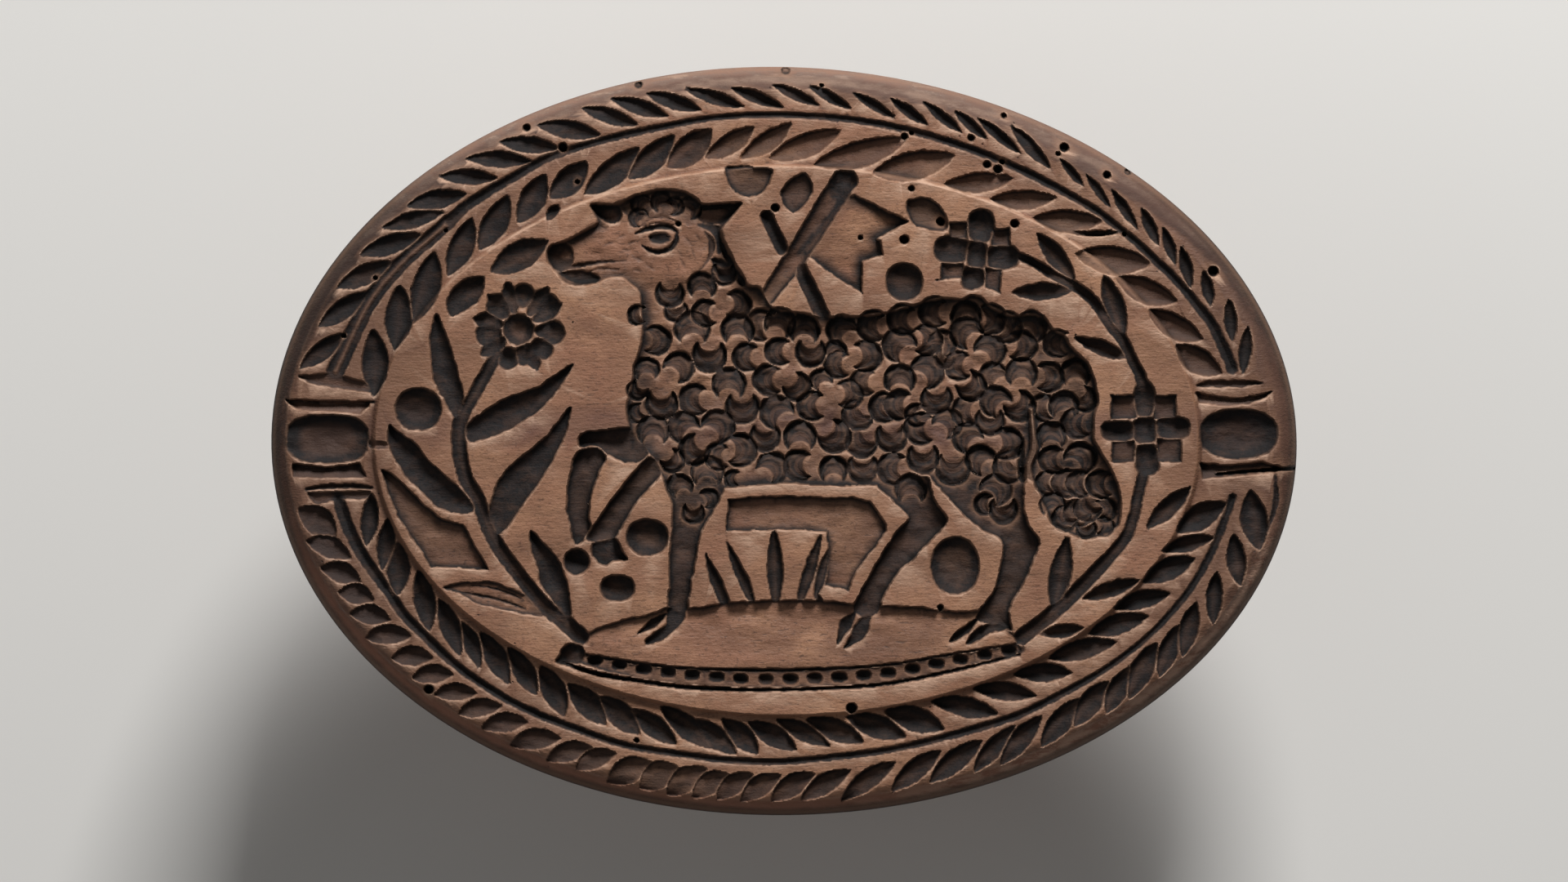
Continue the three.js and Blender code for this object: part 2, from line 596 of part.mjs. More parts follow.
// Leaves of one wreath row, worked out between its stations
function wreathRowCuts(stations) {
  const cuts = [];
  for (let station = 0; station + 1 < stations.length; station += 1) {
    const [first, second] = [stations[station], stations[station + 1]];
    const isLast = station + 2 === stations.length;
    for (let leaf = first.leaf; leaf < second.leaf + (isLast ? 1 : 0); leaf += 1) {
      const share = (leaf - first.leaf) / (second.leaf - first.leaf);
      const mix = (a, b) => a.map((value, axis) => THREE.MathUtils.lerp(value, b[axis], share));
      cuts.push(leafCut({
        tip: mix(first.tip, second.tip),
        base: mix(first.base, second.base),
        width: THREE.MathUtils.lerp(first.width, second.width, share),
      }, wreathDepth, wreathLeafSpans));
    }
  }
  return cuts;
}

// Blank of the block: rings from the flat back up the side, over the rim and onto the field
function makeBlank(outline) {
  const ringAt = (inset, height) => outline.map((point) => new THREE.Vector3(
    point.x * (1 - inset / (blockLength / 2)),
    point.y * (1 - inset / (blockWidth / 2)),
    height,
  ));
  const fieldRing = (margin, height) => outline.map((unused, step) => {
    const turn = (step / outlineSteps) * 2 * Math.PI;
    return new THREE.Vector3(
      fieldShift + (fieldLength / 2 + margin) * Math.cos(turn),
      (fieldWidth / 2 + margin) * Math.sin(turn),
      height,
    );
  });
  const rings = [];
  [0, 45, 90].forEach((degrees) => {
    const angle = THREE.MathUtils.degToRad(degrees);
    const height = backRounding * (1 - Math.cos(angle)) - blockThickness;
    rings.push(ringAt(backRounding * (1 - Math.sin(angle)), height));
  });
  [0, 30, 55, 75].forEach((degrees) => {
    const angle = THREE.MathUtils.degToRad(degrees);
    const drop = rimRounding * (1 - Math.sin(angle));
    rings.push(ringAt(rimLean * (1 - Math.cos(angle)), -fieldStep - drop));
  });
  rings.push(ringAt(bandMargin, -fieldStep));
  rings.push(fieldRing(fieldWallLean, -fieldStep));
  rings.push(fieldRing(0, 0));
  return solidFrom(loft(rings));
}

function turned(profile) {
  const points = profile.map(([radius, height]) => new THREE.Vector2(radius, height));
  return new THREE.LatheGeometry(points, handleSteps).rotateX(Math.PI / 2);
}

// Blind socket in the block's back, for the handle's tenon
function socketCut() {
  const radius = tenonDiameter / 2 + fitClearance;
  const depth = tenonLength + socketSpare;
  const bore = new THREE.CylinderGeometry(radius, radius, depth + cutterLift, handleSteps);
  bore.rotateX(Math.PI / 2);
  bore.translate(0, 0, (depth - cutterLift) / 2 - blockThickness);
  return solidFrom(bore);
}

function makeBlock() {
  const cuts = [
    ...lambCuts(),
    pocketCut(moundOutline, moundDepth, moundSamples),
    ...beadCuts(),
    pocketCut(leafPanel, panelDepth),
    pocketCut(bellyPanel, panelDepth),
    pocketCut(flagOutline, bannerDepth),
    ...bannerStrokes.map((stroke) => strokeCut(stroke, poleDepth)),
    ...stems.map((stem) => strokeCut(stem, plantDepth)),
    ...leaves.map((leaf) => leafCut(leaf, leafDepth, leafSpans)),
    ...pellets.map((pellet) => bowlCut(pellet, pelletDepth, pelletSteps)),
    ...flowerCuts(),
    ...roses.flatMap(roseCuts),
    ...branches.map((branch) => strokeCut(branch, branchDepth, branchSpans, 0)),
    ...wreathRows.flatMap(wreathRowCuts),
    ...bosses.map((boss) => bowlCut(boss, bossDepth - fieldStep, bossSteps)),
    ...bossGrooves.map((groove) => strokeCut(groove, grooveDepth, 1, 0)),
    socketCut(),
  ];
  return cuts.reduce((block, cut) => block.subtract(cut), makeBlank(makeBlockOutline()));
}

// Handle: a knob with a flat end, a waist and a collar under the block, with a split tenon
function makeHandle() {
  const collarBase = handleLength - collarThickness;
  const shoulderRadius = knobDiameter / 2 - shoulderSetback;
  const grip = new THREE.SplineCurve([
    new THREE.Vector2(knobEndDiameter / 2, 0),
    new THREE.Vector2(shoulderRadius, knobHeight - lowerShoulderDrop),
    new THREE.Vector2(knobDiameter / 2, knobHeight),
    new THREE.Vector2(shoulderRadius, knobHeight + upperShoulderRise),
    new THREE.Vector2(neckDiameter / 2, waistHeight - waistFlare),
    new THREE.Vector2(waistDiameter / 2, waistHeight),
    new THREE.Vector2(neckDiameter / 2, collarBase),
  ]);
  const profile = [
    [0, 0],
    ...grip.getPoints(gripSteps).map((point) => [point.x, point.y]),
    [collarDiameter / 2 - collarEase, collarBase],
    [collarDiameter / 2, collarBase + collarEase],
    [collarDiameter / 2, handleLength - collarEase],
    [collarDiameter / 2 - collarEase, handleLength],
    [tenonDiameter / 2, handleLength],
    [tenonDiameter / 2, handleLength + tenonLength - tenonChamfer],
    [tenonDiameter / 2 - tenonChamfer, handleLength + tenonLength],
    [0, handleLength + tenonLength],
  ];
  const kerf = new THREE.BoxGeometry(tenonDiameter * 2, kerfWidth, kerfDepth * 2);
  kerf.translate(0, 0, handleLength + tenonLength);
  return solidFrom(turned(profile)).subtract(solidFrom(kerf));
}

// The wedge is as wide as the tenon and thins towards its leading edge
function makeWedge() {
  const halfWidth = tenonDiameter / 2 - tenonChamfer;
  const halfBack = kerfWidth / 2 - fitClearance;
  const section = new THREE.Shape([
    new THREE.Vector2(-wedgeEdge / 2, 0),
    new THREE.Vector2(wedgeEdge / 2, 0),
    new THREE.Vector2(halfBack, wedgeLength),
    new THREE.Vector2(-halfBack, wedgeLength),
  ]);
  const bar = new THREE.ExtrudeGeometry(section, { depth: halfWidth * 2, bevelEnabled: false });
  bar.translate(0, 0, -halfWidth);
  bar.rotateX(Math.PI / 2);
  bar.rotateZ(Math.PI / 2);
  return bar;
}

const walnut = new THREE.MeshStandardMaterial({ color: 0x8a6248, roughness: 0.55, metalness: 0 });
const turnedWood = new THREE.MeshStandardMaterial({ color: 0x7b5138, roughness: 0.5, metalness: 0 });
const wedgeWood = new THREE.MeshStandardMaterial({ color: 0xb08a60, roughness: 0.6, metalness: 0 });

function namedMesh(name, geometry, material) {
  const mesh = new THREE.Mesh(geometry, material);
  mesh.name = name;
  return mesh;
}

const block = namedMesh('carved_block', geometryFrom(makeBlock()), walnut);
block.position.z = faceHeight;

const handle = namedMesh('handle', geometryFrom(makeHandle()), turnedWood);

const wedge = namedMesh('tenon_wedge', makeWedge(), wedgeWood);
wedge.position.z = handleLength + tenonLength - wedgeLength;

const stamp = new THREE.Group();
stamp.add(block, handle, wedge);

export default stamp;
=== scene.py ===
"""Looks of a carved wooden stamp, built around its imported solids.

The block's face is carved here as a relief: every gouge cut lowers the face where the
carver's tool went. Layout numbers are millimetres on the face, from the middle of the block,
x to the right of the carving and y to its top. Blender's own units are metres.
"""

import math

import bmesh
import bpy
import numpy as np
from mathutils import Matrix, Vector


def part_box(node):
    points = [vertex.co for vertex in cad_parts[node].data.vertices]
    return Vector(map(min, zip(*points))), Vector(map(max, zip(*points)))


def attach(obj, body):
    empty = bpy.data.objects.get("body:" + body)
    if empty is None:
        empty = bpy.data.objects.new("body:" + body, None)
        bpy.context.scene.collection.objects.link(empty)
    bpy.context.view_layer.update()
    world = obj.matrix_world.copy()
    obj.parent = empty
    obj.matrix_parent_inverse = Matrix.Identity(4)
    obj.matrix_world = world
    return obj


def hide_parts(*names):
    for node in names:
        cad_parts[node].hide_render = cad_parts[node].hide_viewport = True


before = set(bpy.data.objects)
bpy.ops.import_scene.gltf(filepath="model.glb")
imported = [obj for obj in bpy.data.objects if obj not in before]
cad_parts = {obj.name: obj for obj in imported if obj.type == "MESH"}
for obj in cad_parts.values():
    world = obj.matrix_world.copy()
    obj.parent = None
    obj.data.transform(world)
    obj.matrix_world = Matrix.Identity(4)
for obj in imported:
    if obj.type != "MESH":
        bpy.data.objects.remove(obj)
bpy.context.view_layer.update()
BLOCK_LOW, BLOCK_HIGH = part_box("carved_block")
HANDLE_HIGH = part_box("handle")[1]
WEDGE_LOW, WEDGE_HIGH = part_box("tenon_wedge")

bl_info = {
    "name": "Carved wooden stamp",
    "version": (1, 0, 0),
    "blender": (4, 5, 0),
    "location": "View3D > Sidebar > Stamp",
    "description": "Carves and finishes an oval wooden stamp around its packed solids",
    "category": "Object",
}

MM = 0.001

# Block, as in the solids
BLOCK_LENGTH = (BLOCK_HIGH.x - BLOCK_LOW.x) / MM
BLOCK_WIDTH = (BLOCK_HIGH.y - BLOCK_LOW.y) / MM
FACE_HEIGHT = BLOCK_HIGH.z / MM
BACK_HEIGHT = BLOCK_LOW.z / MM
BACK_ROUNDING = 3.5
RIM_ROUNDING = 9.0
RIM_LEAN = 5.5
RIM_START = 0.35
RIM_STRIP = 3.4
FIELD_LENGTH = 159.6
FIELD_WIDTH = 106.2
FIELD_SHIFT = 0.5
FIELD_STEP = 1.4
SOCKET_RADIUS = 11.3
SOCKET_DEPTH = 14.6
SOCKET_EASE = 0.5
# How the hand-cut outline swells: times around, then along and across, per 100 mm
OUTLINE_SWELLS = [(1, -0.33, -0.19), (2, -0.28, -0.33), (3, 0.31, -0.22)]

# Handle and wedge, as in the solids. The profile is radius and height, from the knob's foot up
HANDLE_FOOT = [(18.8, 0.0), (19.7, 0.35)]
HANDLE_PROFILE = [
    (20.0, 0.0), (24.5, 5.0), (26.0, 15.0), (24.5, 23.0), (16.5, 31.0), (13.0, 39.0),
    (16.5, 56.0),
]
COLLAR_RADIUS = 20.0
COLLAR_LOW = 56.0
COLLAR_TOP = 60.0
COLLAR_EASE = 0.9
TENON_RADIUS = 11.0
TENON_TOP = HANDLE_HIGH.z / MM
TENON_EASE = 1.0
KERF_WIDTH = 3.0
KERF_DEPTH = 11.0
WEDGE_HEAD = 2.4
WEDGE_TIP = 1.6
# The profile starts and ends this near the axis, where its turned points are merged
ON_AXIS = 0.001

# How far round a point the marks of the block's surface look
HOLLOW_REACH = 1.1
CREST_REACH = 0.45
SMEAR_REACH = 0.3
LIP_REACH = 0.5

# Lamb: head, body and tail in one outline, from the muzzle over the back
LAMB = [
    (-46.3, 36.2), (-45.4, 38), (-42.6, 38.9), (-39.8, 40.3), (-37.7, 41.4), (-36.3, 42.4),
    (-37.75, 45.9), (-34.6, 46.15), (-31.8, 46.15), (-29.7, 47.5), (-27.2, 48.3),
    (-24.2, 49), (-21.7, 48.9), (-19.2, 48.5), (-17.4, 47.4), (-15.8, 46.2), (-12, 46.2),
    (-8, 46.2), (-10, 43.4), (-11.5, 41.8), (-12.1, 40.8), (-11.8, 39.2), (-10.9, 37.1),
    (-9.7, 35.2), (-8.8, 33.4), (-7.5, 31.5), (-6.9, 30.4), (-4.6, 29.9), (-2, 25.9),
    (3, 25), (8.8, 24.3), (16, 24.4), (20, 25), (23.2, 25.9), (27.1, 27.1), (31.1, 27.8),
    (34.7, 27.7), (36.2, 28.4), (38.5, 27.9), (40.3, 26), (44.2, 24.3), (48, 24.5),
    (50.5, 23.8), (52.5, 21.6), (54.5, 20.5), (55.7, 18.4), (58.2, 16), (59.7, 13.7),
    (60.6, 10.8), (61, 7.5), (60.3, 4.5), (60.2, 0.6), (61.5, -2), (63.3, -5), (64.6, -8),
    (65.3, -10.5), (65.5, -12.4), (65, -16.3), (62.3, -18.3), (58.4, -19.2), (55.5, -18.1),
    (51.9, -16.3), (50.1, -12), (48.3, -8), (46.4, -7.4), (46.5, -10.9), (38, -12),
    (29.6, -9), (27.8, -6.7), (24, -9.4), (17.8, -8.9), (11.6, -8.9), (6.4, -8.8),
    (1.2, -8.4), (-5.3, -8.8), (-11.1, -9.3), (-17, -9.6), (-23, -8), (-26.1, -2.8),
    (-29.6, -1), (-30.1, 2.8), (-30.5, 4.5), (-30.7, 7), (-29.9, 10), (-29.2, 14.5),
    (-28.2, 17.7), (-27.6, 21), (-27.85, 25.4), (-28.2, 28.8), (-29.7, 30.3), (-31.5, 31.5),
    (-34, 31.4), (-36.8, 30.3), (-39.85, 29.85), (-42.6, 30.5), (-43.5, 31.5), (-45.1, 33.4),
]
# Line of wood left standing between tail and body
TAIL_RIDGE = [(47.6, -8.4, 1.3), (47.4, -5, 0.7), (48.5, -1.6, 0.9), (48.3, 1.8, 0.3), (48, 6, 0.1)]

# Dark cut between the haunch and that line
TAIL_CUT = [(46.8, 4, 0.8), (46.6, 0, 1.8), (46, -3.4, 2.2), (46.1, -7.6, 1.8)]

# Legs as outlines
LEGS = [
    [(-23.2, -6.7), (-22.7, -9.85), (-21.8, -12.6), (-21.8, -16.8), (-22.3, -22), (-22.3, -27.2),
     (-22.5, -32), (-21, -34.4), (-18.9, -33.6), (-18.3, -30.6), (-17.8, -27.2), (-17.1, -23.7),
     (-16.1, -18.2), (-14.3, -15), (-13.3, -13), (-11.4, -9.5), (-11.2, -6.4), (-17, -5.4)],
    [(-29.9, 2.7), (-34.4, 2.3), (-38.2, 1.9), (-39.6, 1.06), (-40, -0.15), (-39.6, -1.4),
     (-36.2, -1.2), (-34.25, -2.9), (-29.2, -4.5), (-26.1, -2.6), (-26.6, 0.6)],
    [(-40.1, -2.2), (-41.5, -6), (-42.2, -9.85), (-42.2, -13.3), (-41.5, -16.8), (-40.5, -20.2),
     (-38.8, -19.4), (-37.3, -16.4), (-37.7, -14.7), (-37.5, -11.6), (-36.7, -8.8),
     (-35.5, -5.35), (-34.25, -2.9), (-36.6, -1.1)],
    [(-26.1, -2.9), (-30.6, -7.8), (-33.7, -11.6), (-37, -16.4), (-38.8, -19), (-35.6, -20),
     (-32.7, -18.9), (-31.7, -17.5), (-29.9, -14.3), (-27.8, -11.2), (-24.6, -7.6), (-23.2, -5.4)],
    [(17.8, -8.4), (20.9, -11.6), (24, -14.9), (22, -17.1), (19.9, -20.2), (16.8, -25.4),
     (14.7, -29.2), (13.1, -32.9), (15, -34.6), (17.3, -34.2), (18.8, -33.2), (19, -31.3),
     (20.2, -28.9), (22.3, -25.4), (25.1, -23), (27.8, -20.2), (30.1, -18), (31.8, -15.7),
     (31.5, -14.3), (29.7, -12.3), (28.5, -9.2), (27.8, -6.7), (22, -6.2)],
    [(29.2, -6.4), (30.6, -9.85), (33.4, -13), (35.8, -15.4), (38.6, -17.5), (41, -18.5),
     (42.4, -20.2), (42, -23.7), (41.2, -27.2), (40, -29.9), (38.1, -32.3), (36.9, -34.6),
     (39.4, -35.9), (42.6, -36.6), (44.4, -37), (44.1, -35.2), (43.8, -33.4), (44.3, -31.65),
     (45.8, -28.9), (47.2, -26.1), (48.6, -22.7), (49.65, -19.9), (49.3, -18.5),
     (47.9, -16.8), (46.9, -14.3), (46.5, -10.9), (46.4, -7), (38, -5)],
]
HOOVES = [
    [(-22.6, -32.2), (-19.2, -32.2), (-18.7, -33.7), (-20.2, -36.3), (-22.3, -38),
     (-24.4, -39.3), (-27, -39.6), (-27.2, -38.7), (-25.8, -37.2), (-23.3, -35.6)],
    [(-22.6, -33.2), (-26.1, -34.4), (-27.8, -36.2), (-29.2, -37.9), (-26.5, -37.2),
     (-23.7, -35.4)],
    [(14.4, -32.7), (10.9, -34.4), (10.2, -36.8), (10.2, -39.7), (11.6, -38.6), (13.3, -36.2)],
    [(17.1, -33.4), (16.8, -36.5), (15.4, -38.6), (13.3, -40), (11.5, -40.4), (12.6, -37.5),
     (14.8, -34)],
    [(38.2, -33.6), (34.8, -35.8), (32.7, -37.2), (31.9, -39.4), (35.1, -38.1), (37, -36.3)],
    [(42.4, -35), (38.2, -35.6), (35.8, -37.9), (35, -39.7), (37.5, -39.1), (40.3, -37.5),
     (43.6, -36.6)],
    [(-37.2, -19.6), (-32.7, -18.7), (-31.3, -20.9), (-30.4, -23), (-33, -23.5),
     (-34.4, -24.5), (-36.2, -23.7), (-37.3, -22.3)],
]
KNEE_PAD = (-40.2, -23.4, 2.7, 2.7)

# Share of its circle that a curl's open mouth takes up, and how far out the mouth lies
CURL_MOUTH = 0.59
CURL_MOUTH_PLACE = 0.86
# Steps that the rocking gouge left across a curl
CURL_STEPS = 2
# Curls of the fleece: x, y, the way the crescent opens in degrees, and its radius
CURLS = [
    (-22.1, 28.6, 90, 3.0), (-16, 30, 270, 3.0), (-9, 26.5, 180, 3.0), (-15.3, 24.8, 0, 2.9),
    (-11.6, 32.6, 90, 2.7), (-21, 25.2, 90, 2.5), (-17.8, 21.8, 270, 3.7), (-9, 21.5, 270, 3.4),
    (-24.8, 19.5, 180, 3.1), (-4.7, 22.5, 340, 3.3), (-0.8, 22.8, 250, 3.3),
    (3.9, 21.5, 270, 3.3), (11.3, 21.4, 315, 3.3), (17.2, 22.3, 0, 3.3), (23.1, 23.5, 0, 3.3),
    (-14.5, 16.5, 90, 3.6), (-7.3, 16.2, 0, 3.0), (-1, 17.3, 0, 3.0), (5.2, 17.2, 90, 3.2),
    (-20.4, 14.3, 225, 3.2), (-26.7, 13.8, 270, 2.7), (-10.7, 11, 270, 3.5),
    (-3, 11.8, 0, 3.3), (2.5, 10.5, 135, 3.1), (10.5, 14.8, 0, 2.9), (16, 16.5, 180, 3.3),
    (10, 17.5, 270, 2.3), (-23.8, 7.2, 90, 3.4), (-17.4, 8, 0, 3.3), (-8.1, 6.5, 90, 3.5),
    (-1.4, 5.5, 315, 3.6), (5.4, 6.8, 0, 3.2), (12.6, 9, 180, 3.1), (14.3, 5, 45, 3.3),
    (19.4, 6.5, 0, 3.2), (25.7, 5, 0, 2.5), (15.6, 11.3, 0, 2.9), (22.5, 11.9, 270, 3.3),
    (-25.4, 2, 270, 3.3), (-19.5, 2.6, 315, 3.3), (-12.8, 2.8, 225, 3.5), (-3.7, 0.8, 90, 3.2),
    (3.1, 0.8, 270, 3.4), (9.8, 0.8, 135, 3.5), (15.1, -0.2, 45, 3.4), (20.8, 0.7, 90, 3.3),
    (-17.4, -1.8, 45, 3.3), (-8.5, -1.8, 180, 3.5), (-12.8, -3.1, 0, 2.9),
    (-2.2, -5.2, 225, 3.3), (2.9, -4.8, 0, 3.3), (9.6, -5.6, 270, 3.0), (15.3, -5.2, 90, 3.2),
    (21.2, -5.4, 0, 3.4), (27, -3.3, 90, 3.3), (-21.6, -3.9, 135, 2.6), (-14.9, -6, 270, 3.5),
    (29.2, 25, 0, 3.3), (35.4, 24.3, 270, 3.2), (35.4, 21, 315, 3.4), (40, 23.6, 180, 3.3),
    (43.3, 22, 180, 3.3), (47.9, 22, 225, 3.4), (46.1, 18.5, 180, 3.3), (53, 18.9, 0, 3.0),
    (22.4, 18.5, 315, 3.6), (27.8, 19.6, 180, 3.3), (30.7, 18.9, 225, 3.0),
    (40, 17.5, 225, 3.4), (33.9, 14.6, 0, 3.1), (27.8, 13.5, 225, 3.6), (36.4, 10.6, 135, 3.2),
    (40.7, 12.4, 315, 3.1), (46.1, 13.1, 270, 3.3), (51.5, 12.4, 180, 3.2),
    (56.6, 13.1, 270, 3.2), (29.6, 8.1, 90, 3.3), (35.4, 5.6, 0, 3.2), (41.1, 7.7, 315, 3.3),
    (45.8, 6.7, 135, 3.3), (40, 3.8, 90, 3.1), (22.4, 7, 0, 3.2), (26.4, 2.4, 0, 3.4),
    (31.8, 3.4, 225, 3.2), (50.4, 6.3, 0, 3.0), (54.4, 6.7, 270, 3.2), (58.4, 8.1, 135, 2.7),
    (51.9, 0.9, 270, 3.2), (56.9, 3.4, 0, 3.3), (35.7, 0.6, 315, 3.3), (43.3, -0.5, 180, 3.4),
    (38.2, -3.7, 315, 3.2), (32.8, -5.2, 90, 3.7), (43.6, -5.2, 45, 3.4), (52.2, -3.7, 0, 3.0),
    (57.6, -3.4, 225, 3.4), (51, -8.2, 0, 2.6), (54.8, -8.3, 0, 3.1), (57.4, -8.4, 0, 2.9),
    (61.4, -8.4, 0, 3.0), (41.1, -9.5, 225, 3.3), (24.6, -9.5, 270, 3.3),
    (52.2, -12.5, 270, 2.8), (54.6, -15, 45, 2.8), (57, -14, 45, 3.0), (59, -13, 45, 3.0),
    (62.3, -13.4, 180, 2.6), (58.6, -17, 90, 2.2), (62, -16.6, 180, 2.2),
    (42.6, -13.4, 90, 3.0), (39, -12.3, 0, 2.3), (-28.5, 9.8, 50, 2.2), (-28.3, 5.4, 30, 2.2),
    (-9.9, -7.4, 0, 2.0), (7.2, 11.8, 300, 2.4), (-20.2, -8.8, 290, 2.7),
    (-14.6, -11.2, 200, 2.2), (-17.6, -14, 90, 2.4), (31.2, 16, 60, 2.2), (-28.4, 24.4, 0, 2.2),
]

# Strokes of hair on the head: x, y, length and lean in degrees
HAIR = [
    (-29.5, 38.4, 2.6, 20), (-30.6, 36.8, 2.4, 10), (-28.2, 35.2, 2.2, -20), (-31.6, 39.6, 2.4, 25),
    (-34, 38.2, 2.8, 20), (-26, 33.6, 2.4, -30), (-22.6, 33.4, 2.2, -70), (-19.6, 34.4, 2.6, -60),
    (-17.6, 36.4, 2.6, -70), (-18.6, 38.8, 2.4, -50), (-20.2, 36.4, 2, -60), (-16.8, 39.6, 2, -60),
    (-23.6, 44.2, 2.2, 80), (-25.6, 44, 2, 70), (-20.6, 44.2, 2.2, 110), (-28.4, 33, 2.4, -15),
]

# Stems: x, y and width along each line
LEFT_STEM = [
    (-55.4, 17, 2.4), (-58.2, 12.2, 2.6), (-60.5, 8, 2.6), (-62, 5.7, 2.8), (-62.9, 2.7, 3),
    (-63, -0.8, 3), (-62.6, -4, 3), (-61.7, -7.3, 3), (-59.7, -10.8, 3), (-57.9, -15.4, 3),
    (-55.6, -20.2, 3), (-52.4, -24.7, 3), (-49.2, -28.8, 3), (-46, -32.4, 3.2),
    (-42.5, -35.2, 3.4), (-39.3, -38.1, 3.4),
]
RIGHT_STEM = [
    (44.3, 36.3, 1.7), (48, 34.7, 1.9), (52, 32.3, 2.1), (55.7, 30.3, 2.2), (59, 28, 2.2),
    (61.3, 25.3, 2.3), (63.3, 22.3, 2.3), (65.7, 19.3, 2.3), (67.3, 16, 2.3), (68.7, 13.3, 2.4),
    (69.7, 10.4, 2.4),
]
LOW_STEM = [
    (69.9, -5.6, 2.2), (68.8, -9.9, 2.2), (67.7, -15, 2.3), (65.9, -19.2, 2.4),
    (60.3, -25.5, 2.8), (54, -31.8, 3), (46, -38.2, 3.2),
]
# Leaves of the left plant as outlines
PLANT_LEAVES = [
    [(-67.3, 24.6), (-68.6, 20.7), (-68.6, 17.5), (-67.9, 11.6), (-65.8, 7.5), (-63.4, 4),
     (-61.9, 8), (-62.9, 12.5), (-64.1, 16.6), (-65.5, 20.7)],
    [(-40.8, 15), (-44.6, 12.8), (-48.1, 10.4), (-53.5, 8.6), (-57, 6.6), (-59.4, 5.1),
     (-62, 2.4), (-61, -0.3), (-56.4, 0.7), (-51.7, 3), (-47.6, 5.7), (-44.6, 8.6),
     (-42, 12.4)],
    [(-41.3, 6.8), (-43.7, 3.9), (-46.7, 0.4), (-49.9, -2), (-53.5, -5.2), (-55.8, -8.5),
     (-57.2, -12.5), (-57.8, -14.6), (-56, -18.6), (-54.4, -17.9), (-52.1, -14.7),
     (-49.9, -11.5), (-47.3, -7.9), (-44.6, -3.5), (-42.5, 0.7), (-41.4, 4.5)],
    [(-76.5, 3.2), (-74.1, 1.3), (-71.4, -0.5), (-68.5, -4), (-65.2, -7), (-62.3, -9.7),
     (-59.6, -13), (-61.1, -14.3), (-64.6, -13.9), (-67.5, -12.8), (-70, -10.2),
     (-72.9, -7.6), (-75.3, -4), (-76.8, -0.8)],
    [(-49.2, -17.2), (-49.3, -20.2), (-47.9, -24.7), (-47.3, -27.9), (-45.1, -30.8),
     (-42.2, -35.4), (-41.1, -33.6), (-41.5, -29.8), (-42.5, -25.9), (-43.8, -22.7),
     (-46, -20.2)],
    [(-64.7, 24.1), (-65.4, 27.2), (-62.3, 31.3), (-58.2, 31.9), (-58.2, 29), (-59.6, 26.6),
     (-62.3, 24.8)],
]
# Shallow leaf at the foot of the left plant, with its two scored veins
FLAT_LEAF = [
    (-66.2, -28.4), (-63, -27.4), (-58.5, -27.1), (-55.6, -27.4), (-52.8, -28.5), (-50, -29.8),
    (-47, -33), (-46.7, -34.2), (-54.4, -32.8), (-59.5, -31.7), (-62.7, -29.8),
]
FLAT_LEAF_VEINS = [
    [(-65.6, -28.6, 0.5), (-61, -29.6, 1), (-56, -30.6, 1.2), (-51, -32.2, 1), (-47.4, -33.8, 0.5)],
    [(-62, -27.9, 0.5), (-57.5, -28.3, 0.9), (-53, -29.6, 0.9), (-49.4, -31.4, 0.5)],
]
LEAF_PANEL = [
    (-78.4, -5.1), (-75.6, -6.4), (-72.9, -9.1), (-69.4, -12.5), (-66.5, -14.9), (-64, -15.7),
    (-62.1, -16), (-60.8, -18.6), (-58.8, -21.8), (-57.1, -25.1), (-63, -24.8),
    (-68.5, -24.7), (-69.7, -22.7), (-72.3, -18.9), (-75.2, -14.1), (-77.4, -8.6),
]
BELLY_PANEL = [
    (-10.9, -11.2), (-5.3, -10.7), (-0.5, -10.5), (9.85, -10.9), (13.3, -10.9), (16.8, -11.6),
    (19.9, -16.1), (19.9, -17.5), (17.5, -20.9), (15.7, -23.3), (14.3, -25.1), (12.6, -29.2),
    (7.9, -28), (8.6, -21.6), (8.1, -17.8), (-0.5, -17.2), (-4, -17.5), (-8.8, -17.6),
    (-11.4, -17.5),
]
# Single leaves: tip, base, width
LEAVES = [
    ((-56.9, 32.7), (-45.7, 38.8), 5.8), ((-46, 42.6), (-43.7, 45.9), 2.2),
    ((49, 40.4), (56.4, 31), 3.8), ((44.1, 28.7), (56.2, 29.2), 3.6), ((62, 32.2), (66, 20), 4.2),
    ((56.2, 20), (67.2, 15.9), 3.2), ((78.9, -8.8), (70.2, -17), 3.8),
    ((69, -26.9), (57.6, -30.7), 3.2), ((58.2, -36.2), (49.2, -37.5), 2.8),
    ((54.9, -18.6), (52.2, -33.4), 4.4), ((-15.3, -21.8), (-9.8, -35.8), 2.4),
    ((-11.1, -19.5), (-4.9, -34.2), 2.2), ((-1.9, -16.9), (-1.6, -33.4), 3.2),
    ((7.2, -18), (2.4, -33.2), 2.4), ((9.2, -20), (5.8, -31), 2.2), ((6.2, -29), (8.6, -35.9), 1.8),
]
TOP_DROP = [(4.2, 51.9), (1.4, 50.9), (-0.7, 48.4), (-0.2, 46), (1.75, 44), (4.4, 46), (5.7, 49.2)]
TOP_LEAF = [(-11.6, 53), (-11.1, 50.4), (-9.5, 48.2), (-6.8, 47.2), (-4.2, 48), (-2.6, 50.2),
            (-2.2, 52.6), (-4.6, 53.1), (-9, 53.4)]
RIGHT_LEAF = [(24, 46.6), (23.7, 44.6), (25, 41.9), (28, 40.8), (31.6, 40.6), (31.9, 42.4),
              (30.4, 45.4), (27.6, 47.2)]
# Round pellets: x, y and half-axes
PELLETS = [
    (-70.9, 6.1, 4.65, 4.3), (-26.5, -18.7, 4.2, 3.7), (-32.3, -28.5, 3.5, 2.75),
    (23.3, 30.8, 3.75, 3.75), (33.2, -24.2, 4.85, 5.7),
]

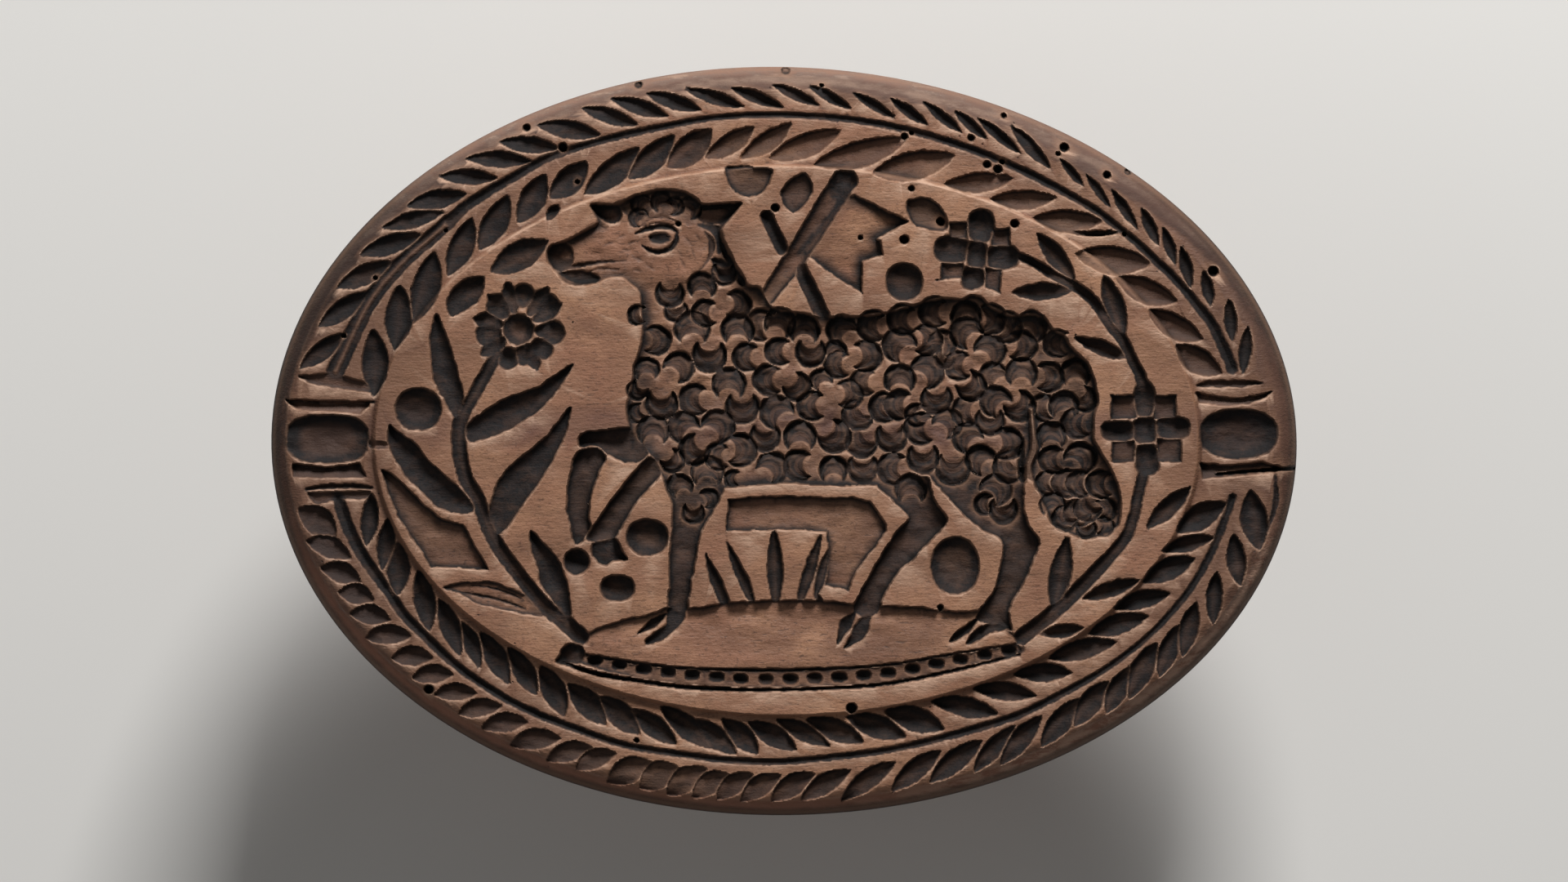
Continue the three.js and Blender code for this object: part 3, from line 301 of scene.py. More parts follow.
# Double flower: heart, then lobes as x, y, radius, then pointed petals as tip and width
FLOWER_HEART = (-51.5, 21.6, 3.2)
FLOWER_LOBES = [
    (-55.2, 26, 2.7), (-50.5, 28.1, 2.5), (-46.2, 26, 2.9), (-44.9, 21, 2.6), (-47, 17.9, 2.4),
    (-53.5, 16, 2.3), (-57.2, 20.7, 2.7), (-50.2, 16.6, 2.2),
]
FLOWER_TIPS = [
    ((-42.2, 20.9), 3), ((-60.3, 23.8), 3.2), ((-53.7, 30.9), 3), ((-45.6, 29.8), 3),
    ((-58.8, 16.5), 3), ((-47.6, 13.7), 3), ((-43, 26.6), 2.8), ((-57.4, 28.4), 2.8),
]
# Square roses: corners of the sunk squares, and the lobes of the cross between them
ROSE_SQUARES = [
    [(31.9, 38.8), (35.8, 38.9), (35.7, 42.5), (32, 42.4)],
    [(40, 37.7), (44, 37.6), (43.8, 41.4), (40, 41.3)],
    [(30.2, 31.4), (28.9, 31), (35, 31.5), (34.8, 34.6), (30.4, 34.7)],
    [(38.8, 29.6), (41.9, 28.5), (42.5, 33.5), (38.9, 33.7)],
    [(63.2, 4), (68.6, 4.2), (68.6, 8.9), (63.3, 9)],
    [(71.4, 4), (76.2, 4.2), (76.1, 9), (71.4, 8.9)],
    [(63.3, -4.3), (68.2, -4.2), (68.1, 0.2), (63.4, 0.2)],
    [(72.1, -4.2), (77.2, -4.3), (77.1, 0.6), (72.1, 0.7)],
]
ROSE_LOBES = [
    (38.2, 41.6, 2.4, 3), (32.6, 37.1, 3.2, 2.5), (37.4, 36.1, 2, 2.6), (42.3, 35.6, 3.1, 2.2),
    (36.6, 31.6, 2.2, 2.1), (69.9, 8, 2, 3.3), (64.9, 1.9, 3.2, 1.9), (70, 2.1, 2.3, 2.5),
    (75.2, 2.5, 3.2, 2.1), (70.4, -3.6, 2.2, 2.9),
]

# Banner: pole, cross bar and flag
POLE = [(11.8, 50.5, 5), (8.2, 44.9, 4.9), (4.2, 38.5, 4.6), (0.1, 32.5, 4.1), (-3.2, 27.8, 3.2)]
POLE_END = [(12, 50.8, 4.2), (11, 49.2, 4.6), (9.2, 46.4, 3.6), (7.2, 43.3, 1.6)]
CROSS_ARMS = [[(-3.3, 43.4, 2.7), (-2, 40.6, 2.7), (-0.4, 37.2, 2.7)],
              [(3, 33.6, 2.8), (5.4, 28.6, 3.1), (7.5, 24, 3.2)]]
FLAG = [
    (11.2, 47.6), (13.7, 47.9), (20, 44.7), (24.6, 42.5), (18.1, 39.1), (18.9, 39.1),
    (19.4, 35.8), (15.5, 34.9), (15.3, 34.7), (15.3, 28.3), (8.8, 32.4), (5.5, 35), (2.2, 36.6),
]

# Mound under the lamb, and the beaded edge below it
MOUND = [
    (-43.8, -42.7), (-41.7, -39.6), (-38, -37.2), (-34.4, -35.5), (-29.2, -34.1),
    (-25.1, -33.2), (-22.5, -32.2), (-18.2, -32.3), (-11.2, -31.3), (-3, -30.8), (6.4, -30.8),
    (13.3, -31.5), (19.5, -31.8), (25.4, -32), (30.6, -32.7), (34.1, -33), (38, -32.9),
    (43, -36), (46.4, -38.9), (46.6, -41.2), (38.1, -43.2), (22.2, -46.9), (6.3, -48),
    (-9.5, -48.2), (-25.4, -46.9), (-41.3, -42.9),
]
BEAD_BAND = [
    (-38.8, -41.3), (-29.2, -42.9), (-20.2, -43.9), (-8.5, -44.3), (4, -44.2), (9.85, -44),
    (20.2, -43.3), (27.2, -42.1), (34.1, -41), (40.3, -40), (45.6, -39.2), (46.4, -41),
    (38.1, -43.3), (22.2, -46.8), (6.3, -47.9), (-9.5, -48.1), (-25.4, -46.8),
    (-40.8, -42.8),
]
BEAD_COUNT = 18
# A groove at the foot of the beaded edge, painted black as its shadow: x, y and width
BEAD_FOOT = [
    (-43, -42.9, 1), (-36.6, -45, 1.1), (-29, -46.4, 1.1), (-20, -47.6, 1.1), (-9, -48.2, 1),
    (5, -48.1, 0.9), (20, -47.1, 0.9), (33, -44.5, 0.9), (45.6, -41.4, 0.7),
]
# Black line along the top of the beaded edge
BEAD_TOP = [
    (-38.8, -41.4, 0.9), (-29, -43, 0.9), (-20, -44, 0.8), (-8.5, -44.4, 0.8), (4, -44.3, 0.8),
    (20, -43.4, 0.8), (34, -41.1, 0.8), (45.4, -39.3, 0.7),
]
MOUND_CORNER = [(-44.4, -43), (-43.2, -40.6), (-41.6, -39.2), (-39.2, -39.6), (-38.4, -41.8),
                (-40, -43.6)]
BEAD_LINE = [(-36.6, -42.6), (-25, -44.6), (-9, -46.1), (5, -46.1), (20, -45), (33, -42.6),
             (43.6, -40.6)]

# Bosses at the ends of the face: x, y and half-axes
BOSSES = [(-88.6, 0.35, 8.3, 4.9), (88.2, 1.3, 7.9, 5)]
# Facets above and below them, deepest at the side towards which they lean
END_FACETS = [
    [(-97, 8.2), (-91, 8.1), (-86, 7.6), (-80, 7.9), (-80.4, 6.4), (-82, 5), (-88, 5.4),
     (-94.6, 5.8), (-96, 6.8)],
    [(-95.6, -4.2), (-89, -4.9), (-82.4, -4.2), (-80.6, -7.2), (-88, -7.4), (-95.4, -7.2)],
    [(79.6, 9.6), (84, 8.6), (88, 8.4), (92, 9), (95.4, 10), (93.4, 8.2), (90, 6.9), (84, 6.6),
     (80.4, 7.2)],
    [(80.6, -4.2), (87, -4.6), (93, -4), (96.6, -4.9), (95.4, -6.3), (88, -6.9), (81, -7.6)],
]
# Small nicks of the panels: x, y and width along each line
END_NICKS = [
    [(-95.6, 7.9, 0.6), (-91, 7.6, 0.9), (-86, 7.5, 0.8), (-79.6, 7.5, 0.6)],
    [(80, 9.3, 0.6), (84, 8.3, 0.9), (88, 8, 0.9), (91, 8.5, 0.8), (94, 9.4, 0.5)],
    [(-92.6, -9.4, 0.8), (-89, -8.9, 1.2), (-84, -8.8, 1.2), (-80, -9.1, 0.8)],
    [(95.3, -6.5, 0.6), (95.4, -12, 1.4), (94, -17, 0.6)],
    [(-80.2, -0.6, 1.6), (-78.5, -0.8, 1.8), (-76.8, -0.9, 1.4)],
]
# Scooped ends of the wreath, next to the panels
END_SCOOPS = [
    [(-94.6, 12.6), (-91.6, 11), (-88, 10.2), (-84, 9.7), (-80, 9.2), (-79.8, 11),
     (-83.6, 12.2), (-87.6, 13.2), (-91.4, 13)],
    [(79.8, 10.6), (85, 10.2), (90, 10.4), (93.4, 11.2), (90, 11.9), (86, 11.9), (82, 11.7)],
    [(-92.6, -10), (-88, -9.8), (-80.2, -9.6), (-80.6, -11.2), (-86.4, -11.6), (-91, -12.4)],
]

# Wreath: stems of its upper and lower branches
UPPER_BRANCH = [
    (-87, 13.5, 2.4), (-85.3, 17, 2.4), (-83.5, 21, 2.3), (-81.5, 25, 2.2), (-79, 29, 2.2),
    (-76, 32.5, 2.1), (-72, 36.5, 2), (-69, 39, 2), (-65, 42.5, 1.9), (-61, 46, 1.8),
    (-57, 48.5, 1.7), (-53, 50.8, 1.6), (-46, 54.8, 1.5), (-38, 57.5, 1.3), (-30, 59.5, 1.3),
    (-22, 61.2, 1.2), (-14, 62.6, 1.1), (-5, 63.2, 1.1), (5, 63, 1.1), (15, 62, 1.2),
    (25, 60, 1.3), (35, 57, 1.4), (45, 53, 1.6), (52, 49.5, 1.8), (60, 45, 2), (64, 42, 2),
    (68, 38.8, 2.1), (72, 35, 2.2), (76, 31.2, 2.3), (80, 26.5, 2.4), (83, 22.5, 2.6),
    (85, 18.5, 2.7), (87, 14, 2.8),
]
LOWER_BRANCH = [
    (-86.5, -11, 2.2), (-84.5, -17, 2.2), (-82.5, -21, 2.2), (-80, -24.8, 2.1),
    (-77, -29, 2), (-73.5, -34, 1.9), (-70, -37.5, 1.8), (-66, -41.5, 1.7), (-62, -44.8, 1.6),
    (-58, -47.5, 1.6), (-54, -50, 1.5), (-50, -52, 1.5), (-45, -54.2, 1.5), (-40, -56, 1.4),
    (-35, -57.8, 1.4), (-30, -59.2, 1.3), (-20, -60.8, 1.3), (-10, -62, 1.3), (0, -62.2, 1.3),
    (10, -61.3, 1.3), (20, -60, 1.3), (30, -57.8, 1.4), (40, -55, 1.5), (46, -53, 1.5),
    (54, -49, 1.7), (62, -44.5, 1.8), (70, -38.5, 1.9), (77.5, -30.5, 2.1),
    (82.5, -22.5, 2.3), (86, -14, 2.4), (87, -11, 2.4),
]
# Rows of wreath leaves: tip x, tip y, base x, base y, width
UPPER_OUTER = [
    (-94, 14, -85, 21, 3.2), (-90.2, 22, -80.5, 29, 3.5), (-86.8, 29.6, -76, 34.7, 3.6),
    (-82.3, 36, -70.3, 40.1, 3.5), (-78, 41.2, -66, 44.5, 3), (-73.2, 45.5, -61.5, 48, 3.4),
    (-67, 51.3, -55.5, 51, 2.8), (-62, 54.8, -48.8, 54.3, 2.9), (-55.3, 58, -43.5, 56.8, 3),
    (-48, 61.3, -35.5, 59.3, 3.3), (-39.3, 64.6, -28.3, 61.3, 2.8),
    (-33.8, 66.5, -22.3, 62.9, 2.8), (-26.8, 67.4, -15.9, 64.1, 2.7),
    (-19.2, 68.3, -7.6, 64.7, 2.4), (-10.4, 68.5, 0, 64.6, 2.2), (-2.5, 69.2, 7, 65, 2),
    (4.9, 68.9, 13, 64.4, 2), (13.2, 67.6, 21.5, 62.7, 1.8), (20.5, 66.5, 28, 61.2, 2),
    (26.8, 65.9, 34.6, 59.7, 1.9), (33, 64, 39.4, 58.5, 1.9), (37.4, 62.7, 46, 55.7, 2),
    (43.9, 61.2, 51.7, 52.8, 2.4), (53.5, 54.8, 58.2, 49.3, 1.6),
    (58.5, 51.8, 63.3, 45.2, 1.5), (63.5, 48.8, 68.6, 41, 1.8), (69.3, 45.2, 72.7, 37.8, 2),
    (73.5, 41.5, 76, 34, 1.9), (77, 37.7, 79, 29.5, 2.2), (81.5, 33, 82.8, 26, 2.2),
    (86.3, 27.5, 87, 19.2, 2.3), (90, 22.2, 89, 12.8, 2.3),
]
UPPER_INNER = [
    (-79.6, 8.4, -79.7, 21.7, 4.6), (-75.5, 17.5, -74.5, 30.3, 4.8),
    (-71.8, 22.8, -67.7, 36.7, 4.9), (-65.2, 32, -60.5, 43.3, 4.2),
    (-59.2, 37, -53.5, 47.6, 4.4), (-51.7, 42.2, -46.3, 51.8, 4.4),
    (-45.5, 47, -38.2, 54.2, 4.6), (-38.8, 47.7, -28, 57, 4.4),
    (-30.2, 50.8, -21.3, 59.3, 4.4), (-22.7, 53, -14, 60.5, 5), (-15.4, 54.8, -5.7, 61, 3.6),
    (-8.5, 54.8, 1.5, 61.6, 3.4), (-3, 54.8, 11, 60.2, 4.2), (5.8, 53.5, 24, 58.5, 4.6),
    (17, 51.8, 33.2, 55.4, 5), (31, 49.8, 44.5, 51, 3.5), (40, 46.9, 53, 47.2, 3.4),
    (48.3, 43.2, 61.8, 42.6, 4), (55, 40.6, 65, 40.5, 1.2), (56.4, 36.2, 71.1, 34.4, 5),
    (64.2, 31.7, 76.3, 27, 4.4), (70.5, 25.3, 81.3, 19.6, 4.2), (75.8, 18.5, 85, 13, 4.5),
]
LOWER_OUTER = [
    (-94.2, -13, -87, -19, 4.5), (-92.8, -19.3, -84, -22.8, 3.4),
    (-90, -24.5, -82, -27.5, 3.4), (-86.5, -29.3, -79.5, -31, 3.4),
    (-84.3, -33.5, -76.3, -34.8, 3.2), (-81.3, -38.2, -72.3, -37.8, 3.2),
    (-76.2, -42.2, -68, -42.2, 3.2), (-72.2, -46, -64, -45.3, 3),
    (-68, -49.2, -59.5, -49, 2.8), (-63.3, -53, -54.7, -51.5, 3),
    (-58.8, -55.7, -49.7, -54.5, 3.2), (-53.3, -59, -43.2, -57.7, 3.4),
    (-46.2, -62, -37, -59.5, 3.2), (-40.5, -63.8, -32.5, -60.5, 3.2),
    (-34.4, -66.3, -25.5, -62.5, 4.2), (-28, -67.5, -20.5, -63.2, 4.4),
    (-22.8, -68.8, -15, -63.5, 4), (-17.8, -69.3, -10.8, -64.5, 3.6),
    (-13.2, -69.6, -6, -64.6, 3.4), (-8.5, -70, -0.5, -64.7, 3.4),
    (-2.6, -69.9, 6, -64.5, 3.6), (3.2, -69.8, 13, -63.8, 3.4), (11, -69.8, 21.7, -62.2, 3.4),
    (20.8, -68, 30.5, -60, 3.6), (28.2, -66.4, 38.5, -58, 3.8), (36.8, -64.4, 44.8, -55.2, 3.2),
    (42, -63, 50, -53.3, 3.6), (49.8, -59.5, 57.8, -49.8, 3.8), (56.2, -55.5, 63, -46.5, 4),
    (62.5, -53, 67.3, -43.8, 3.6), (67, -50.2, 72.3, -39, 4), (72.8, -46, 76.8, -35.5, 3.4),
    (77.4, -42, 80, -31.2, 3.4), (83.3, -35.8, 84, -25.3, 2.9), (88.5, -28.2, 87.3, -18, 3.4),
    (92.3, -21.3, 90.5, -9.5, 4.8),
]
LOWER_INNER = [
    (-80, -10, -81, -20.5, 3.2), (-76.8, -15, -78, -25.2, 3.4), (-75, -19.5, -75, -30, 4.4),
    (-71, -25, -68.8, -37, 4), (-67, -30.5, -62.8, -41.8, 3.8), (-62.5, -35, -59, -44, 3.2),
    (-58.8, -37, -53.4, -47.2, 4.2), (-53.5, -40, -48, -49.3, 4),
    (-47.2, -43.5, -42.5, -53.5, 4.4), (-42, -47, -34.5, -55.2, 4.6),
    (-36, -49.5, -28, -57, 4.6), (-30, -52, -20.8, -59, 4), (-24, -51.5, -13.8, -59.8, 4.2),
    (-18.5, -54, -9.2, -60.8, 4.2), (-12, -53.8, -5, -60.8, 4.2), (-7, -54.5, 2.5, -60, 4),
    (-1.5, -54, 9, -59.3, 3.4), (4.2, -54, 15.5, -58.5, 4.2), (12, -53.5, 23.7, -57.5, 4.4),
    (19.5, -52.3, 31.2, -56, 4.6), (28.5, -50.5, 41.5, -53, 3.8), (36.5, -48, 49, -49.5, 3.6),
    (44.5, -45.3, 56, -45, 3.6), (51.3, -42.2, 64.5, -39, 3.8), (59, -37.5, 70.7, -34, 3.8),
    (63.7, -32.5, 75, -29.5, 3.4), (69.4, -27.4, 79.8, -22.8, 4.2),
    (73, -21.5, 83.5, -18.7, 3), (76, -17.8, 85.8, -12, 4.6),
]

# Woodworm holes: x, y, radius
WORM_HOLES = [
    (0.3, 72.1, 0.9), (-28.3, 69.3, 0.8), (-50, 60.8, 0.8), (-42.9, 57, 0.9),
    (-40.1, 50.3, 0.45), (-1.7, 45.15, 0.85), (23.3, 39, 0.95), (30.4, 42.55, 0.85),
    (44.7, 42.1, 0.85), (24.7, 48.9, 0.6), (14.8, 39.4, 0.45), (-20.5, 42.1, 0.55),
    (23.4, 59.1, 0.7), (24.7, 59.7, 0.4), (36.3, 58.8, 0.7), (42.7, 63.2, 0.6),
    (54.4, 56.95, 0.95), (53.2, 55.7, 0.5), (39.4, 53.6, 0.8), (41.5, 52.7, 0.9),
    (42.3, 54.2, 0.5), (62.7, 51.6, 0.8), (66.9, 52.4, 0.7), (83.3, 32.9, 1.1),
    (7.3, 69, 0.4), (-65.6, 40.8, 0.35), (-79.3, 31.6, 0.45), (-85.4, 20.4, 0.45),
    (-68.9, -48.2, 0.95), (-28.6, -58.1, 0.5), (13.1, -51.8, 1.1), (30.3, -32.3, 0.6),
    (66, 40.1, 0.4),
]
# Crack that opens from the right end along the grain: x, y, width
CRACK = [(100.4, -5.3, 1), (95.2, -5.5, 0.8), (88.9, -6, 0.6), (84, -6.5, 0.5)]


def from_hex(code):
    """Linear colour of an sRGB hex value, with full alpha."""
    channels = [int(code[i:i + 2], 16) / 255 for i in (0, 2, 4)]
    linear = [c / 12.92 if c <= 0.04045 else ((c + 0.055) / 1.055) ** 2.4 for c in channels]
    return (*linear, 1.0)


def depth_setting(name, description, millimetres):
    return bpy.props.FloatProperty(
        name=name, description=description, default=millimetres * MM, min=0.0, unit="LENGTH",
        precision=4,
    )


def colour_setting(name, description, code):
    return bpy.props.FloatVectorProperty(
        name=name, description=description, default=from_hex(code), size=4, min=0.0, max=1.0,
        subtype="COLOR",
    )


class StampCarving(bpy.types.PropertyGroup):
    """How deep the carver's tools went"""

    field_step: depth_setting("Field step", "Drop from the field to the wreath's band", FIELD_STEP)
    edge_wear: depth_setting("Edge wear", "Width over which cut edges are worn round", 0.4)
    lamb: depth_setting("Lamb", "Deepest hollow of the lamb's body", 3.2)
    lamb_wall: depth_setting("Lamb wall", "Steep wall around the lamb", 1.7)
    leg: depth_setting("Legs", "Depth of the leg hollows", 2.8)
    curl: depth_setting("Curls", "Depth of a curl below the body's hollow", 1.2)
    leaf: depth_setting("Leaves", "Depth of the leaves on the field", 2.0)
    pellet: depth_setting("Pellets", "Depth of the round pellets", 2.6)
    panel: depth_setting("Panels", "Depth of the flat sunk panels", 1.5)
    banner: depth_setting("Flag", "Depth of the flag", 1.4)
    pole: depth_setting("Pole", "Depth of the banner's pole and arms", 2.3)
    petal: depth_setting("Petals", "Depth of the flower's and roses' petals", 1.9)
    mound: depth_setting("Mound", "Depth of the mound under the lamb", 1.3)
    wreath: depth_setting("Wreath leaves", "Depth of the wreath's leaves", 1.7)
    branch: depth_setting("Wreath branches", "Depth of the wreath's stems", 1.0)
    boss: depth_setting("Bosses", "Depth of the oval bosses below the field", 3.9)
    cell: depth_setting("Cell", "Spacing of the points that carry the carving", 0.22)


class StampColours(bpy.types.PropertyGroup):
    """Colours of the woods and the floor"""

    land: colour_setting("Land", "Worn, waxed surface of the block", "906650")
    land_light: colour_setting("Pale grain", "Pale streaks of the block's grain", "a57a5e")
    land_dark: colour_setting("Dark grain", "Dark streaks of the block's grain", "71503e")
    heart: colour_setting("Heartwood", "Streak of heartwood across the block", "54393a")
    recess: colour_setting("Recess", "Old grease and dirt in the hollows", "1b191a")
    recess_brown: colour_setting("Brown recess", "Wood that shows through the dirt", "4e382d")
    # Also painted shade: the near black of inner corners and the foot of walls
    deep_dirt_and_shade: colour_setting("Deep recess", "Dirt in the deepest corners", "0a0706")
    # Also a painted highlight on lit lower edges and on the rim's lower right
    chipped_and_lit: colour_setting("Chipped edge", "Dry wood of worn and chipped edges", "c0a08a")
    scuffed: colour_setting("Scuffed rim", "Dry, scuffed wood of the upper rim", "655750")
    rubbed: colour_setting("Rubbed rim", "Dark, rubbed wood of the rim's sides", "4c372f")
    handled: colour_setting("Handled rim", "Brown, handled wood of the lower rim", "855c4a")
    turned: colour_setting("Handle", "Waxed wood of the turned handle", "6d4530")
    split: colour_setting("Wedge", "Raw split wood of the wedge", "b08a60")
    floor: colour_setting("Floor", "Plain pale floor", "dcdad6")


def rise(share):
    """Soft step from 0 to 1."""
    share = np.clip(share, 0.0, 1.0)
    return share * share * (3.0 - 2.0 * share)


def gouged(share):
    """Quarter round from 0 at the edge to 1, level, at the middle."""
    return np.sqrt(1.0 - (1.0 - np.clip(share, 0.0, 1.0)) ** 2)


def curved(points, closed=False, spacing=0.8):
    """Points along a smooth line through the given ones; a third value runs along with it."""
    points = np.array(points, float)
    count = len(points)
    line = []
    for i in range(count if closed else count - 1):
        start, end = points[i], points[(i + 1) % count]
        before = points[i - 1] if closed or i > 0 else 2 * start - end
        after = points[(i + 2) % count] if closed or i + 2 < count else 2 * end - start
        chord = np.linalg.norm((end - start)[:2])
        way_in = (end - before) * chord / (np.linalg.norm((start - before)[:2]) + chord)
        way_out = (after - start) * chord / (np.linalg.norm((after - end)[:2]) + chord)
        steps = max(1, round(chord / spacing))
        for step in range(steps):
            t = step / steps
            line.append(
                start * (2 * t**3 - 3 * t**2 + 1) + way_in * (t**3 - 2 * t**2 + t)
                + end * (3 * t**2 - 2 * t**3) + way_out * (t**3 - t**2)
            )
    if not closed:
        line.append(points[-1])
    return np.array(line)


def inside_by(outline, x, y):
    """Distance from an outline, positive inside it and negative outside."""
    nearest = np.full(np.broadcast(x, y).shape, 1e9)
    inside = np.zeros(nearest.shape, bool)
    for (ax, ay), (bx, by) in zip(outline[:, :2], np.roll(outline[:, :2], -1, axis=0)):
        run, climb = bx - ax, by - ay
        share = ((x - ax) * run + (y - ay) * climb) / (run * run + climb * climb)
        share = np.clip(share, 0.0, 1.0)
        away = (x - ax - share * run) ** 2 + (y - ay - share * climb) ** 2
        nearest = np.minimum(nearest, away)
        if ay != by:
            crossing = ((ay > y) != (by > y)) & (x < run * (y - ay) / climb + ax)
            inside ^= crossing
    return np.where(inside, 1.0, -1.0) * np.sqrt(nearest)


def nearest_on(start, end, x, y):
    """Share of the way from start to end that comes nearest to a point, and how near it comes."""
    run, climb = end[0] - start[0], end[1] - start[1]
    share = ((x - start[0]) * run + (y - start[1]) * climb) / (run**2 + climb**2 + 1e-9)
    share = np.clip(share, 0.0, 1.0)
    return share, np.hypot(x - start[0] - share * run, y - start[1] - share * climb)


def swell_at(x, y):
    """How far the hand-cut outline stands out from a true oval, in the direction of a point."""
    angle = np.arctan2(y, x)
    swell = np.ones(np.broadcast(x, y).shape)
    for turns, along, across in OUTLINE_SWELLS:
        swell = swell + (along * np.cos(turns * angle) + across * np.sin(turns * angle)) / 100
    return swell


def outline_fit():
    """Middle and stretch that fit the swelling outline to the block's length and width."""
    turn = np.linspace(0, 2 * np.pi, 720, endpoint=False)
    x, y = np.cos(turn) * BLOCK_LENGTH / 2, np.sin(turn) * BLOCK_WIDTH / 2
    swell = swell_at(x, y)
    x, y = x * swell, y * swell
    return (
        (x.max() + x.min()) / 2, (y.max() + y.min()) / 2,
        BLOCK_LENGTH / (x.max() - x.min()), BLOCK_WIDTH / (y.max() - y.min()),
    )


FIT = outline_fit()


def onto_outline(across, up):
    """Place on the block of a point of the unit disc."""
    x, y = across * BLOCK_LENGTH / 2, up * BLOCK_WIDTH / 2
    swell = swell_at(x, y)
    return (x * swell - FIT[0]) * FIT[2], (y * swell - FIT[1]) * FIT[3]


def rim_inset(x, y):
    """How far a point lies inside the block's outline."""
    x, y = x / FIT[2] + FIT[0], y / FIT[3] + FIT[1]
    swell = swell_at(x, y)
    inset = np.zeros(np.broadcast(x, y).shape)
    for _ in range(4):
        long, wide = BLOCK_LENGTH / 2 - inset, BLOCK_WIDTH / 2 - inset
        reach = np.sqrt((x / long) ** 2 + (y / wide) ** 2) + 1e-9
        slope = (x**2 / long**3 + y**2 / wide**3) / reach
        inset = np.clip(inset + (swell - reach) / np.maximum(slope, 2e-3), -2.0, 60.0)
    return inset


def uneven(shape, *layers):
    """Seeded smooth unevenness in layers: hills up and across, their seed, and their height."""
    total = 0.0
    for (up, across), seed, height in layers:
        coarse = np.random.default_rng(seed).uniform(-1, 1, (up + 3, across + 3))
        rows = np.linspace(0, up, shape[0])
        cols = np.linspace(0, across, shape[1])
        r, c = rows.astype(int), cols.astype(int)
        fr, fc = rise(rows - r)[:, None], rise(cols - c)[None, :]
        top = coarse[np.ix_(r, c)] * (1 - fc) + coarse[np.ix_(r, c + 1)] * fc
        low = coarse[np.ix_(r + 1, c)] * (1 - fc) + coarse[np.ix_(r + 1, c + 1)] * fc
        total = total + (top * (1 - fr) + low * fr) * height
    return total


def spread(values, cells):
    """Values averaged over a neighbourhood, twice, so that the average is smooth."""
    for _ in range(2):
        for axis in (0, 1):
            pad = [(0, 0), (0, 0)]
            pad[axis] = (cells + 1, cells)
            total = np.cumsum(np.pad(values, pad, mode="edge"), axis=axis)
            count = values.shape[axis]
            high = np.take(total, range(2 * cells + 1, 2 * cells + 1 + count), axis=axis)
            low = np.take(total, range(count), axis=axis)
            values = (high - low) / (2 * cells + 1)
    return values


